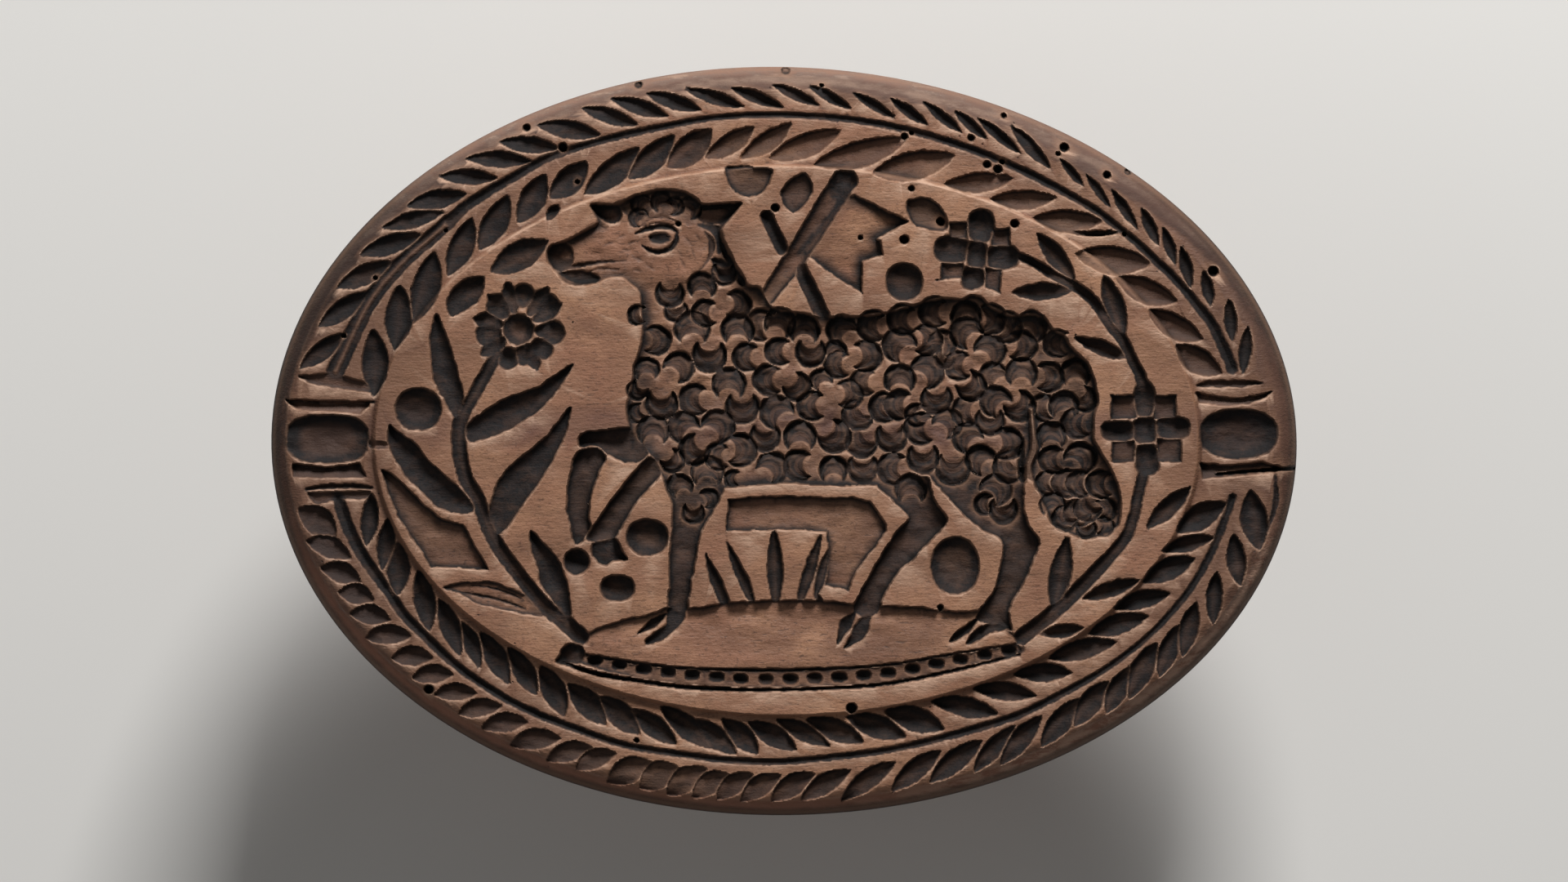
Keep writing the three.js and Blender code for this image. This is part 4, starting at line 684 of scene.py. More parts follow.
class Face:
    """Height of the block's face over a grid, in millimetres, 0 at the raised field."""

    def __init__(self, cell, step, wear):
        self.cell = cell
        self.wear = wear
        self.xs = np.arange(-BLOCK_LENGTH / 2 - 1, BLOCK_LENGTH / 2 + 1, cell)
        self.ys = np.arange(-BLOCK_WIDTH / 2 - 1, BLOCK_WIDTH / 2 + 1, cell)
        x, y = self.xs[None, :], self.ys[:, None]
        self.inset = rim_inset(x, y)
        out = np.hypot((x - FIELD_SHIFT) / (FIELD_LENGTH / 2), y / (FIELD_WIDTH / 2))
        past_field = (out - 1) * FIELD_WIDTH / 2
        lean = np.arccos(np.clip(1 - self.inset / RIM_LEAN, -1, 1))
        rounding = RIM_ROUNDING * (1 - np.sin(np.minimum(lean, np.pi / 2)))
        shape = self.inset.shape
        bump = uneven(shape, ((26, 36), 3, 0.28), ((60, 82), 4, 0.12))
        near_rim = rise(1 - np.abs(self.inset - 2.6) / 3.2)
        self.ground = -step * rise(past_field / 0.8 + 0.2) - rounding + (bump - 0.3) * near_rim
        # Below, a worn strip along the rim ends at a low sharp ridge
        strip = rise((RIM_STRIP - self.inset) / 0.5) * (1 - rise((y + x * 0.3 + 12) / 30))
        self.ground = self.ground - 0.35 * strip
        self.height = self.ground.copy()
        self.reference = self.ground
        # Darkness at each point: dirt in the cuts and painted shade by their walls; above 1 it
        # turns near black
        self.dirt_and_shade = np.zeros(shape)
        self.left_dirt_and_shade = self.dirt_and_shade
        self.arcs = np.zeros(shape)
        # The knife wandered a little, and the gouge left shallow facets
        self.wander = uneven(shape, ((110, 150), 5, 0.14), ((260, 360), 6, 0.07))
        self.facets = uneven(shape, ((70, 62), 7, 0.1), ((150, 130), 8, 0.05))

    def window(self, points, margin):
        points = np.asarray(points, float)[:, :2]
        low, high = points.min(axis=0) - margin, points.max(axis=0) + margin
        first = np.maximum(((low - (self.xs[0], self.ys[0])) / self.cell).astype(int), 0)
        last = ((high - (self.xs[0], self.ys[0])) / self.cell).astype(int) + 2
        place = (slice(first[1], max(last[1], 0)), slice(first[0], max(last[0], 0)))
        return place, self.xs[None, place[1]], self.ys[place[0], None]

    def cut(self, place, depth, dirt_and_shade=1.0, arcs=0.0):
        """Takes wood away to a depth below the reference surface; the deeper cut stays."""
        level = self.reference[place] - depth * (1 + self.facets[place])
        deeper = level < self.height[place] - 0.001
        darkening = np.maximum(dirt_and_shade * rise(depth / 0.25), self.left_dirt_and_shade[place])
        self.height[place] = np.where(deeper, level, self.height[place])
        self.dirt_and_shade[place] = np.where(deeper, darkening, self.dirt_and_shade[place])
        self.arcs[place] = np.where(deeper, arcs, self.arcs[place])

    def pocket(
        self, outline, depth, wall, reach, dirt_and_shade=1.0, straight=False, tilt=None, wall_grime_and_shade=1.15,
        fade=0.85,
    ):
        """Sunk shape: a worn wall, darkened along it by grime and painted shade, then a hollow that
        deepens over the reach.
        """
        outline = np.array(outline, float) if straight else curved(outline, closed=True)
        place, x, y = self.window(outline, 1)
        edge = inside_by(outline, x, y) + self.wander[place]
        depths = wall * rise(edge / self.wear) + (depth - wall) * gouged(edge / reach)
        if tilt:
            depths = depths * np.clip(tilt(x, y), 0.15, 1.4)
        self.cut(place, depths, dirt_and_shade + max(wall_grime_and_shade - dirt_and_shade, 0) * (1 - rise((edge - 0.15) / fade)))

    def bowl(self, x0, y0, half_x, half_y, depth, square=2.0, dirt_and_shade=1.0, lighter_middle=0.0):
        place, x, y = self.window([(x0, y0)], max(half_x, half_y) + 1)
        across, up = np.abs((x - x0) / half_x), np.abs((y - y0) / half_y)
        out = (across**square + up**square) ** (1 / square)
        out = out - self.wander[place] * 0.7 / min(half_x, half_y)
        edge = (1 - out) * min(half_x, half_y)
        depths = depth * gouged(1 - out) * (0.35 + 0.65 * rise(edge / self.wear)) * (out < 1)
        # Dirt and painted shade darken it by its wall; towards the middle it is lighter
        self.cut(place, depths, dirt_and_shade - lighter_middle * rise((edge - 0.7) / 1.5))

    def groove(self, line, depth, vee=0.0, straight=False, dirt_and_shade=1.0, rib=0.0, wall_grime_and_shade=1.15):
        """Gouge cut along a line of x, y, width: round in section, a V, or split by a rib."""
        line = np.array(line, float) if straight else curved(line)
        widest = line[:, 2].max()
        nearest = np.full(self.height.shape, 9.0)
        taper = np.zeros(self.height.shape)
        for start, end in zip(line[:-1], line[1:]):
            place, x, y = self.window([start, end], widest)
            share, away = nearest_on(start, end, x, y)
            half = np.maximum(start[2] + (end[2] - start[2]) * share, 0.05) / 2
            away = away / half
            closer = away < nearest[place]
            nearest[place] = np.where(closer, away, nearest[place])
            taper[place] = np.where(closer, np.minimum(1, 2.2 * half / widest), taper[place])
        place, _, _ = self.window(line, widest)
        away = nearest[place] - self.wander[place] * 1.4 / widest
        section = (1 - vee) * gouged(1 - away) + vee * np.clip(1 - away, 0, 1)
        middle = rib * rise(1 - away / 0.55)
        # Towards its walls, grime and painted shade darken it
        darkening = dirt_and_shade * (1 - middle) + max(wall_grime_and_shade - dirt_and_shade, 0) * rise((away - 0.45) / 0.4)
        self.cut(place, depth * section * (1 - middle) * taper[place], darkening)

    def leaf(self, tip, base, width, depth, keel, bow=0.0, dirt_and_shade=1.0):
        """Lens-shaped cut. Its deepest line lies towards the lower edge for a positive keel."""
        tip, base = np.array(tip, float), np.array(base, float)
        length = np.linalg.norm(base - tip)
        along = (base - tip) / length
        place, x, y = self.window([tip, base], width)
        share = ((x - tip[0]) * along[0] + (y - tip[1]) * along[1]) / length
        share = np.clip(share, 0.0, 1.0)
        side = (y - tip[1]) * along[0] - (x - tip[0]) * along[1] - bow * 4 * share * (1 - share)
        # Blunter at its ends than a sine curve
        half = width / 2 * np.sin(np.pi * share) ** 0.75 + 1e-6
        offset = side * (1 - 0.8 * self.wander[place] / half) / half
        line = -keel * float(np.clip(along[0] * 2.5, -1, 1))
        slope = np.where(offset < line, (1 + offset) / (1 + line), (1 - offset) / (1 - line))
        slope = np.clip(slope, 0.0, 1.0)
        full = np.sin(np.pi * share) ** 0.4
        # The gouge stopped against the upper edge; painted shade darkens the floor by that wall,
        # where its shadow falls, and lightens it along the deepest line
        upper = offset > line if along[0] > 0 else offset < line
        darkening = dirt_and_shade + np.maximum(1.4 - dirt_and_shade, 0) * (1 - rise((slope - 0.15) / 0.45)) * upper
        darkening = darkening - 0.2 * rise((slope - 0.5) / 0.4)
        self.cut(place, depth * full * (0.15 * slope + 0.85 * gouged(1.6 * slope)), darkening)

    def curl(self, x0, y0, opens, radius, depth):
        """Crescent of the fleece, stabbed round its back and scooped out from its open side."""
        place, x, y = self.window([(x0, y0)], radius + 1)
        turn = math.radians(opens)
        outer = radius - np.hypot(x - x0, y - y0) + self.wander[place] * 0.9
        shift = CURL_MOUTH_PLACE * radius
        inner = np.hypot(x - x0 - shift * math.cos(turn), y - y0 - shift * math.sin(turn))
        inner = inner - CURL_MOUTH * radius
        across = np.clip(outer / np.maximum(outer + inner, 0.01), 0, 1)
        # The gouge was rocked over, which left low steps across the cut
        steps = np.sin(across * CURL_STEPS * 2 * np.pi)
        floor = depth * (1.1 - 0.7 * across) + 0.16 * steps
        # Where crescents cross, the later one is cut a little deeper at its back
        left = self.reference[place] - self.height[place]
        floor = np.where(left > 0.2, np.maximum(floor, left + 0.45 - 0.4 * across), floor)
        # Darkened by dirt, and near black under the wall at its back as painted shade; lighter
        # towards the mouth
        darkening = 1.5 - 0.45 * rise(across / 0.3) - 0.26 * rise((across - 0.4) / 0.6)
        self.cut(place, floor * rise(outer / 0.3) * rise(inner / 0.3), darkening, across)
        mouth = 0.42 * rise(-inner / 0.4) * rise(outer / 0.4)
        self.dirt_and_shade[place] = np.maximum(self.dirt_and_shade[place], mouth)

    def ridge(self, line, drop):
        """Wood left standing along a line of x, y, width, up to a drop below the field."""
        line = curved(line)
        for start, end in zip(line[:-1], line[1:]):
            place, x, y = self.window([start, end], 3)
            _, away = nearest_on(start, end, x, y)
            level = self.ground[place] - drop - np.maximum(away - start[2] / 2, 0) * 4.5
            self.height[place] = np.maximum(self.height[place], level)

    def carry_on(self):
        """What is cut next is measured from the surface as it is now."""
        self.reference = self.height.copy()
        self.left_dirt_and_shade = self.dirt_and_shade.copy()

    def sample(self, values, x, y):
        col = np.clip((x - self.xs[0]) / self.cell, 0, len(self.xs) - 1.001)
        row = np.clip((y - self.ys[0]) / self.cell, 0, len(self.ys) - 1.001)
        c, r = col.astype(int), row.astype(int)
        fc, fr = col - c, row - r
        top = values[r, c] * (1 - fc) + values[r, c + 1] * fc
        low = values[r + 1, c] * (1 - fc) + values[r + 1, c + 1] * fc
        return top * (1 - fr) + low * fr


def carve_lamb(face, depths):
    outline = curved(LAMB, closed=True)
    place, x, y = face.window(outline, 1)
    edge = inside_by(outline, x, y)
    head = rise((y - 27) / 7) * rise((-11 - x) / 5)
    full = 1 - 0.68 * head
    wall = depths["lamb_wall"] * (1 - 0.1 * head)
    dish = (depths["lamb"] - depths["lamb_wall"]) * full * gouged(edge / (15 - 7 * head))
    near_edge = 1 - rise((edge - 0.8 + 0.5 * head) / (2.0 + head))
    # Tail, haunch and chest are darker than the back
    tail = rise((x - 47 + 2 * rise((9 - y) / 3)) / 2)
    haunch = rise((-3 - y) / 3) * rise((x - 30) / 5)
    chest = rise((-1 - y) / 4) * rise((-8 - x) / 4)
    front = rise((-24 - x) / 3) * rise((27 - y) / 3)
    dark = 0.22 + 0.2 * rise((12 - y) / 8)
    dark = dark * (1 - head) + 0.58 * np.maximum(np.maximum(tail, haunch), np.maximum(chest, front))
    # Painted shade: near the outline it darkens, where the wall's shadow falls, and on the head
    # more along its upper edge than its lower one
    upper = rise((y - 34.5 - 0.15 * (x + 46)) / 3)
    dirt_and_shade = dark + (1 - dark - head * (0.6 - 0.5 * upper)) * near_edge
    edge = edge + face.wander[place] * (1 - 0.6 * head)
    face.cut(place, wall * rise(edge / (face.wear * 1.3)) + dish, dirt_and_shade)
    face.ridge(TAIL_RIDGE, 0.5)
    face.groove(TAIL_CUT, depths["lamb"] * 1.3, vee=0.3)
    for leg in LEGS:
        face.pocket(leg, depths["leg"], 1.1, 2.8, dirt_and_shade=0.9)
    for hoof in HOOVES:
        face.pocket(hoof, depths["leg"] * 0.9, 1.2, 1.5, dirt_and_shade=1.0)
    face.bowl(*KNEE_PAD, depths["leg"] * 0.85)


def carve_fleece(face, depths):
    face.carry_on()
    for number, (x, y, opens, radius) in enumerate(CURLS):
        face.curl(x, y, opens, radius, depths["curl"] * (0.85 + 0.1 * (number % 4)))


def carve_head(face):
    face.carry_on()
    # Nose pad with its nostril, chin and mouth
    face.pocket(
        [(-46.2, 36), (-45.4, 37.9), (-43.8, 38.6), (-41.8, 38.3), (-40.8, 36.4), (-41, 34.2),
         (-42.6, 32.9), (-44.6, 33.2), (-45.8, 34.4)], 1.3, 0.3, 2.6, dirt_and_shade=0.9, wall_grime_and_shade=0)
    face.bowl(-42.4, 36.1, 1.2, 1.4, 1.5, dirt_and_shade=0.35)
    face.pocket(
        [(-43.6, 32.5), (-41.4, 30.9), (-39, 30.3), (-37, 30.6), (-35.4, 31.6), (-36.6, 32.6),
         (-39, 33.1), (-42, 33.2)], 0.9, 0.3, 1.6, dirt_and_shade=0.95)
    face.groove(
        [(-43, 33.3, 0.9), (-40.4, 33.9, 1), (-37.4, 34.4, 0.8), (-34, 34.8, 0.6),
         (-30.6, 35, 0.3)], 0.6, dirt_and_shade=0.8)
    face.groove([(-38.6, 32.6, 0.4), (-35.6, 33.4, 0.6), (-32, 33.2, 0.4)], 0.3, dirt_and_shade=0.4, wall_grime_and_shade=0)
    # Shade line along the bridge of the nose
    face.groove(
        [(-43.4, 38.2, 0.8), (-40.9, 38.9, 1.7), (-38.4, 40.2, 2), (-36, 41.6, 2.2),
         (-34.6, 41.2, 1.2)], 0.5, vee=1.0, dirt_and_shade=0.7, wall_grime_and_shade=0)
    # Eye: lid, ball, pupil, lower lid and brow
    face.groove(
        [(-28.8, 40.2, 0.5), (-26.6, 41.1, 1), (-24, 41.5, 1.1), (-21.8, 41.3, 1),
         (-20.6, 40.4, 0.5)], 0.9)
    face.groove([(-27.4, 41.7, 0.3), (-24.4, 42.3, 0.4), (-21.4, 41.9, 0.3)], 0.3, dirt_and_shade=0.6)
    face.bowl(-24.1, 39.35, 2.3, 1.25, 0.8, dirt_and_shade=1.05, lighter_middle=0.25)
    face.bowl(-23.8, 39.2, 0.9, 0.9, 0.35, dirt_and_shade=0.45)
    face.bowl(-25.9, 39.5, 0.4, 0.5, 1.0)
    face.bowl(-22.6, 39.7, 0.4, 0.5, 1.0)
    face.groove(
        [(-27.5, 37.9, 0.4), (-26, 36.9, 0.9), (-24.2, 36.6, 1.1), (-22.3, 37.1, 1.1),
         (-21, 38.6, 1), (-20.8, 40.3, 0.6)], 0.9)
    face.groove([(-28.2, 41.4, 0.4), (-26, 43, 0.5), (-23.5, 43.5, 0.5), (-20.6, 42.5, 0.4)], 0.3,
                dirt_and_shade=0.6)
    # Ears
    face.pocket(
        [(-37.5, 45.6), (-35, 45.8), (-32, 45.8), (-31.2, 44.4), (-31.5, 42.9), (-32.8, 42.1),
         (-34.4, 42.2), (-35.6, 43.2)], 1.2, 0.7, 2.0, dirt_and_shade=0.85)
    face.bowl(-33.2, 43.8, 1.3, 1.3, 1.5, dirt_and_shade=0.5)
    face.pocket(
        [(-8.6, 45.8), (-12, 45.6), (-15.8, 45.4), (-16.8, 43.2), (-15.4, 42.2), (-12.4, 42),
         (-10.4, 43.4)], 1.0, 0.5, 1.6, dirt_and_shade=0.45, wall_grime_and_shade=0.9)
    face.groove([(-9.6, 45.5, 0.4), (-12.4, 45.4, 1.1), (-15.6, 45.2, 1.4)], 1.5)
    # Brow, and the crest between the ears
    face.pocket(
        [(-30.6, 42.6), (-28.4, 41.8), (-26, 42.8), (-23, 43.4), (-20.4, 42.8), (-18.2, 41.6),
         (-16.6, 42.4), (-16, 45), (-20, 46), (-25, 46), (-30, 45)], 0.3, 0.05, 1.6, dirt_and_shade=0.5,
        wall_grime_and_shade=0)
    face.pocket(
        [(-33.2, 45.9), (-29.7, 47.2), (-27.2, 48), (-24.2, 48.7), (-21.7, 48.6), (-19.2, 48.2),
         (-17.4, 47.1), (-16, 46), (-16.8, 44.6), (-19.4, 44.4), (-22, 45.2), (-24.8, 44.8),
         (-26.6, 43.4), (-28.8, 42), (-30.4, 43.4)], 0.7, 0.15, 1.8, dirt_and_shade=0.85, wall_grime_and_shade=0)
    face.carry_on()
    # Hair of the cheek and the brow, each stroke scratched with the gouge's corner
    for x, y, length, lean in HAIR:
        turn = math.radians(lean)
        reach_x, reach_y = length / 2 * math.cos(turn), length / 2 * math.sin(turn)
        face.groove([(x - reach_x, y - reach_y, 0.25), (x, y + 0.15, 0.5),
                     (x + reach_x, y + reach_y, 0.25)], 0.2, dirt_and_shade=0.6, wall_grime_and_shade=0)
    # Forelock
    for x, y, opens, radius in [
        (-28.2, 43.3, 320, 2.2), (-27.6, 45.9, 330, 2.3), (-23.9, 46.4, 300, 2.3),
        (-21.2, 45.6, 200, 2.1), (-18.3, 45.3, 230, 2.5),
    ]:
        face.curl(x, y, opens, radius, 0.6)
    # Jaw, and the first lock of the neck behind it
    face.groove(
        [(-15.4, 40.6, 0.5), (-14, 38.8, 1.3), (-14, 37, 1.1), (-15, 34.8, 0.7),
         (-16.8, 32.5, 0.4)], 0.6, dirt_and_shade=0.75)
    face.groove([(-16.6, 42, 0.8), (-13.4, 41, 2.2), (-12.4, 38.8, 2), (-12.6, 36.6, 1)], 0.7)
    face.groove([(-12.8, 40, 1.4), (-11.4, 37, 1.8), (-10, 34, 1.8), (-8.2, 31, 1.8)], 0.8,
                dirt_and_shade=1.2)
    face.pocket(
        [(-14.2, 35.4), (-12.4, 35.6), (-10.8, 34.8), (-9.3, 34.2), (-9.1, 32), (-10.4, 30.9),
         (-12.4, 31), (-13.6, 33)], 1.1, 0.5, 2.0)


def carve_plants(face, depths):
    leaf = depths["leaf"]
    for stem in (LEFT_STEM, RIGHT_STEM, LOW_STEM):
        face.groove(stem, leaf * 0.95, rib=0.12)
    for outline in PLANT_LEAVES:
        face.pocket(outline, leaf, 0.5, 2.6, dirt_and_shade=1.08)
    face.pocket(FLAT_LEAF, leaf * 0.4, leaf * 0.35, 1.5, dirt_and_shade=0.1)
    for vein in FLAT_LEAF_VEINS:
        face.groove(vein, leaf * 0.6, vee=0.4)
    for outline in (TOP_DROP, TOP_LEAF, RIGHT_LEAF):
        face.pocket(outline, leaf * 0.9, 0.6, 2.6, dirt_and_shade=0.72)
    for tip, base, width in LEAVES:
        face.leaf(tip, base, width, leaf * min(1, width / 3.2), keel=0.15, dirt_and_shade=1.05)
    for x, y, half_x, half_y in PELLETS:
        face.bowl(x, y, half_x, half_y, depths["pellet"], square=2.2, dirt_and_shade=1.15, lighter_middle=0.28)
    petal = depths["petal"]
    x0, y0, heart = FLOWER_HEART
    for (x, y), width in FLOWER_TIPS:
        root = (x0 + (x - x0) * 0.3, y0 + (y - y0) * 0.3)
        face.leaf((x, y), root, width * 1.25, petal * 0.9, keel=0.0, dirt_and_shade=1.15)
    for x, y, radius in FLOWER_LOBES:
        face.bowl(x, y, radius, radius, petal, dirt_and_shade=1.2, lighter_middle=0.3)
    face.bowl(x0, y0, heart, heart, petal * 1.25, dirt_and_shade=1.2, lighter_middle=0.5)
    for corners in ROSE_SQUARES:
        face.pocket(corners, petal * 0.85, 0.8, 2.0, dirt_and_shade=0.72, straight=True)
    for x, y, half_x, half_y in ROSE_LOBES:
        face.bowl(x, y, half_x * 1.15, half_y * 1.15, petal * 1.3, square=2.6, dirt_and_shade=1.25, lighter_middle=0.3)


def carve_banner(face, depths):
    def away_from_pole(x, y):
        return 0.3 + 0.085 * ((x - 4) * 0.82 - (y - 37) * 0.57)

    # Painted shade darkens the flag for about 3 mm in from its edges
    face.pocket(FLAG, depths["banner"] * 1.25, depths["banner"], 2.0, dirt_and_shade=0.04,
                straight=True, tilt=away_from_pole, wall_grime_and_shade=1.15, fade=2.9)
    face.groove(POLE, depths["pole"], dirt_and_shade=0.6)
    for arm in CROSS_ARMS:
        face.groove(arm, depths["pole"] * 0.9, vee=0.2, dirt_and_shade=1.15)
    face.groove(POLE_END, depths["pole"] * 1.1, dirt_and_shade=1.2)


def carve_panels(face, depths):
    deep = depths["panel"] * 1.15
    face.pocket(LEAF_PANEL, deep, deep * 0.7, 5.0, dirt_and_shade=0.5, straight=True)
    face.pocket(BELLY_PANEL, deep, deep * 0.7, 4.0, dirt_and_shade=0.38, straight=True)


def carve_mound(face, depths):
    def falls_off(x, y):
        return 1.15 - 0.75 * np.clip((-34 - y + 0.0028 * x * x) / 9, 0, 1)

    face.pocket(MOUND, depths["mound"] * 1.2, depths["mound"], 4.0, dirt_and_shade=0.04, tilt=falls_off)
    face.pocket(BEAD_BAND, depths["mound"] * 0.95, depths["mound"] * 0.85, 2.0, dirt_and_shade=0.6)
    face.groove(BEAD_TOP, depths["mound"] + 0.4, vee=0.4, dirt_and_shade=1.3)
    face.groove(BEAD_FOOT, depths["mound"] + 1, vee=0.3, dirt_and_shade=1.3)
    face.pocket(MOUND_CORNER, depths["mound"] + 0.8, 0.8, 1.5)
    line = curved(BEAD_LINE, spacing=0.2)
    travelled = np.concatenate([[0], np.cumsum(np.linalg.norm(np.diff(line, axis=0), axis=1))])
    for place in np.linspace(0, travelled[-1], BEAD_COUNT):
        x = np.interp(place, travelled, line[:, 0])
        y = np.interp(place, travelled, line[:, 1])
        face.bowl(x, y, 1.95, 1.35, depths["mound"] + 1.3, square=2.6, dirt_and_shade=1.2, lighter_middle=0.15)


def carve_wreath(face, depths):
    deep = depths["wreath"]
    stem = depths["branch"]
    # The left end of the upper branch is broad, with a rib along it
    broad = [(x, y, width * 1.5) for x, y, width in UPPER_BRANCH if x < -64]
    face.groove(broad, stem * 1.3, dirt_and_shade=1.0, rib=0.5)
    face.groove([(x, y, width * (1.35 - 0.45 * float(rise((x - 30) / 35))) - 0.1)
                 for x, y, width in UPPER_BRANCH if x > -66], stem * 1.3, vee=0.6, dirt_and_shade=1.0)
    face.groove([(x, y, width * (1.15 - 0.4 * float(rise((x - 40) / 30))))
                 for x, y, width in LOWER_BRANCH], stem * 1.3, vee=0.5, dirt_and_shade=1.15)
    for x0, y0, x1, y1, width in UPPER_OUTER:
        face.leaf((x0, y0), (x1, y1), width * 1.15, deep * min(1, width / 2.2), keel=-0.25,
                  dirt_and_shade=1.1)
    for x0, y0, x1, y1, width in UPPER_INNER:
        dirt_and_shade = 1.08 - 0.5 * float(rise((x0 + 35) / 30))
        face.leaf((x0, y0), (x1, y1), width * 1.16, deep * 1.15, keel=-0.5, bow=-0.35, dirt_and_shade=dirt_and_shade)
    for x0, y0, x1, y1, width in LOWER_OUTER:
        # Scallops at the left and below turn into pointed leaves towards the right
        pointed = float(rise((x0 + 30) / 60))
        face.leaf((x0, y0), (x1, y1), width * (1.25 - 0.1 * pointed), deep * (0.95 + 0.2 * pointed),
                  keel=-0.8 + 0.4 * pointed, bow=0.5 - 0.3 * pointed, dirt_and_shade=0.76 + 0.24 * pointed)
    for x0, y0, x1, y1, width in LOWER_INNER:
        face.leaf((x0, y0), (x1, y1), width * 1.1, deep * 1.2, keel=-0.25, bow=0.2, dirt_and_shade=1.1)


def carve_ends(face, depths):
    for outline, dirt_and_shade in zip(END_SCOOPS, (0.25, 0.3, 0.3)):
        face.pocket(outline, 1.0, 0.6, 2.0, dirt_and_shade=dirt_and_shade, wall_grime_and_shade=dirt_and_shade + 0.35)
    for outline, dirt_and_shade in zip(END_FACETS, (0.05, 0.6, 0.1, 0.7)):
        top = max(y for _, y in outline)
        low = min(y for _, y in outline)

        def leaning(x, y, top=top, low=low):
            return 0.3 + 1.1 * (y - low) / (top - low)

        face.pocket(outline, 1.5, 1.2, 1.5, dirt_and_shade=dirt_and_shade, straight=True, tilt=leaning,
                    wall_grime_and_shade=max(dirt_and_shade, 0.2))
    for line, dirt_and_shade in zip(END_NICKS, (1.3, 1.3, 0.8, 0.9, 0)):
        face.groove(line, 0.9, vee=0.5, dirt_and_shade=dirt_and_shade)
    for (x, y, half_x, half_y), square, dirt_and_shade in zip(BOSSES, (2.7, 2.3), (0.62, 0.86)):
        deep = depths["boss"] - depths["field_step"]
        face.bowl(x, y, half_x, half_y, deep, square=square, dirt_and_shade=1.25, lighter_middle=1.25 - dirt_and_shade)


def age_face(face):
    """Woodworm holes and the crack at the right end."""
    face.carry_on()
    for x, y, radius in WORM_HOLES:
        place, xs, ys = face.window([(x, y)], radius + 1)
        edge = radius * 0.95 - np.hypot(xs - x, ys - y)
        face.cut(place, 2.4 * rise(edge / 0.35 + 0.3), dirt_and_shade=1.9)
    face.groove(CRACK, 2.2, vee=0.5, straight=True, dirt_and_shade=1.9)


def rounded(radius, angles):
    """How far points of a rounded corner lie in from its two sides, at angles in degrees."""
    leans = [math.radians(degrees) for degrees in angles]
    return [(radius * (1 - math.sin(lean)), radius * (1 - math.cos(lean))) for lean in leans]


def deselect():
    bpy.ops.object.select_all(action="DESELECT")


def make_active(piece):
    deselect()
    piece.select_set(True)
    bpy.context.view_layer.objects.active = piece


def vertex_places(piece):
    places = np.empty(len(piece.data.vertices) * 3, np.float32)
    piece.data.vertices.foreach_get("co", places)
    return places.reshape(-1, 3).astype(float)


def set_places(piece, places):
    piece.data.vertices.foreach_set("co", places.astype(np.float32).ravel())
    piece.data.update()


def set_attribute(piece, name, values):
    layer = piece.data.attributes.new(name, "FLOAT", "POINT")
    layer.data.foreach_set("value", values.astype(np.float32))


def apply_modifier(piece, kind, **settings):
    modifier = piece.modifiers.new(kind.title(), kind)
    for name, value in settings.items():
        setattr(modifier, name, value)
    make_active(piece)
    bpy.ops.object.modifier_apply(modifier=modifier.name)


def add_node(tree, kind, inputs=None, **settings):
    """Adds a shader node, with its settings and with values or links for its inputs."""
    node = tree.nodes.new(kind)
    for name, value in settings.items():
        setattr(node, name, value)
    for socket, value in (inputs or {}).items():
        if isinstance(value, bpy.types.NodeSocket):
            tree.links.new(value, node.inputs[socket])
        else:
            node.inputs[socket].default_value = value
    return node


def new_material(name):
    material = bpy.data.materials.new(name)
    material.use_nodes = True
    material.node_tree.nodes.clear()
    return material, material.node_tree


def combined(tree, *values, operation="MULTIPLY"):
    """Values multiplied, or added, or the largest of them.

    A value in a pair is first multiplied by its weight. One in a longer tuple first steps softly
    between the next two numbers, from 0 to 1, or between the two shares after them.
    """
    total = None
    for value in values:
        if isinstance(value, tuple):
            inputs = dict(enumerate(value))
            if len(value) == 2:
                node = add_node(tree, "ShaderNodeMath", inputs, operation="MULTIPLY")
            else:
                node = add_node(
                    tree, "ShaderNodeMapRange", inputs, interpolation_type="SMOOTHSTEP",
                )
            value = node.outputs[0]
        if total is not None:
            inputs = {0: total, 1: value}
            value = add_node(tree, "ShaderNodeMath", inputs, operation=operation).outputs[0]
        total = value
    return total


def layered(tree, under, over, *masks):
    """One colour over another, as far as the product of the masks lets it show."""
    inputs = {0: combined(tree, *masks), 6: under, 7: over}
    return add_node(tree, "ShaderNodeMix", inputs, data_type="RGBA").outputs[2]


def grained(tree, place, stretch, scale, detail, roughness=0.5):
    """Noise with so many features to the metre, drawn out where the stretch is below 1."""
    drawn = add_node(tree, "ShaderNodeMapping", {"Vector": place, "Scale": stretch})
    return add_node(
        tree, "ShaderNodeTexNoise",
        {"Vector": drawn.outputs[0], "Scale": scale, "Detail": detail, "Roughness": roughness},
    ).outputs["Fac"]


def finish_wood(tree, wood, relief, strength, height, gloss):
    """Gives a wood its colour, its bumps of a height in millimetres, and its gloss."""
    bump = add_node(
        tree, "ShaderNodeBump", {"Strength": strength, "Distance": height * MM, "Height": relief},
    )
    shader = add_node(
        tree, "ShaderNodeBsdfPrincipled",
        {"Base Color": wood, "Normal": bump.outputs["Normal"], **gloss},
    )
    add_node(tree, "ShaderNodeOutputMaterial", {"Surface": shader.outputs[0]})


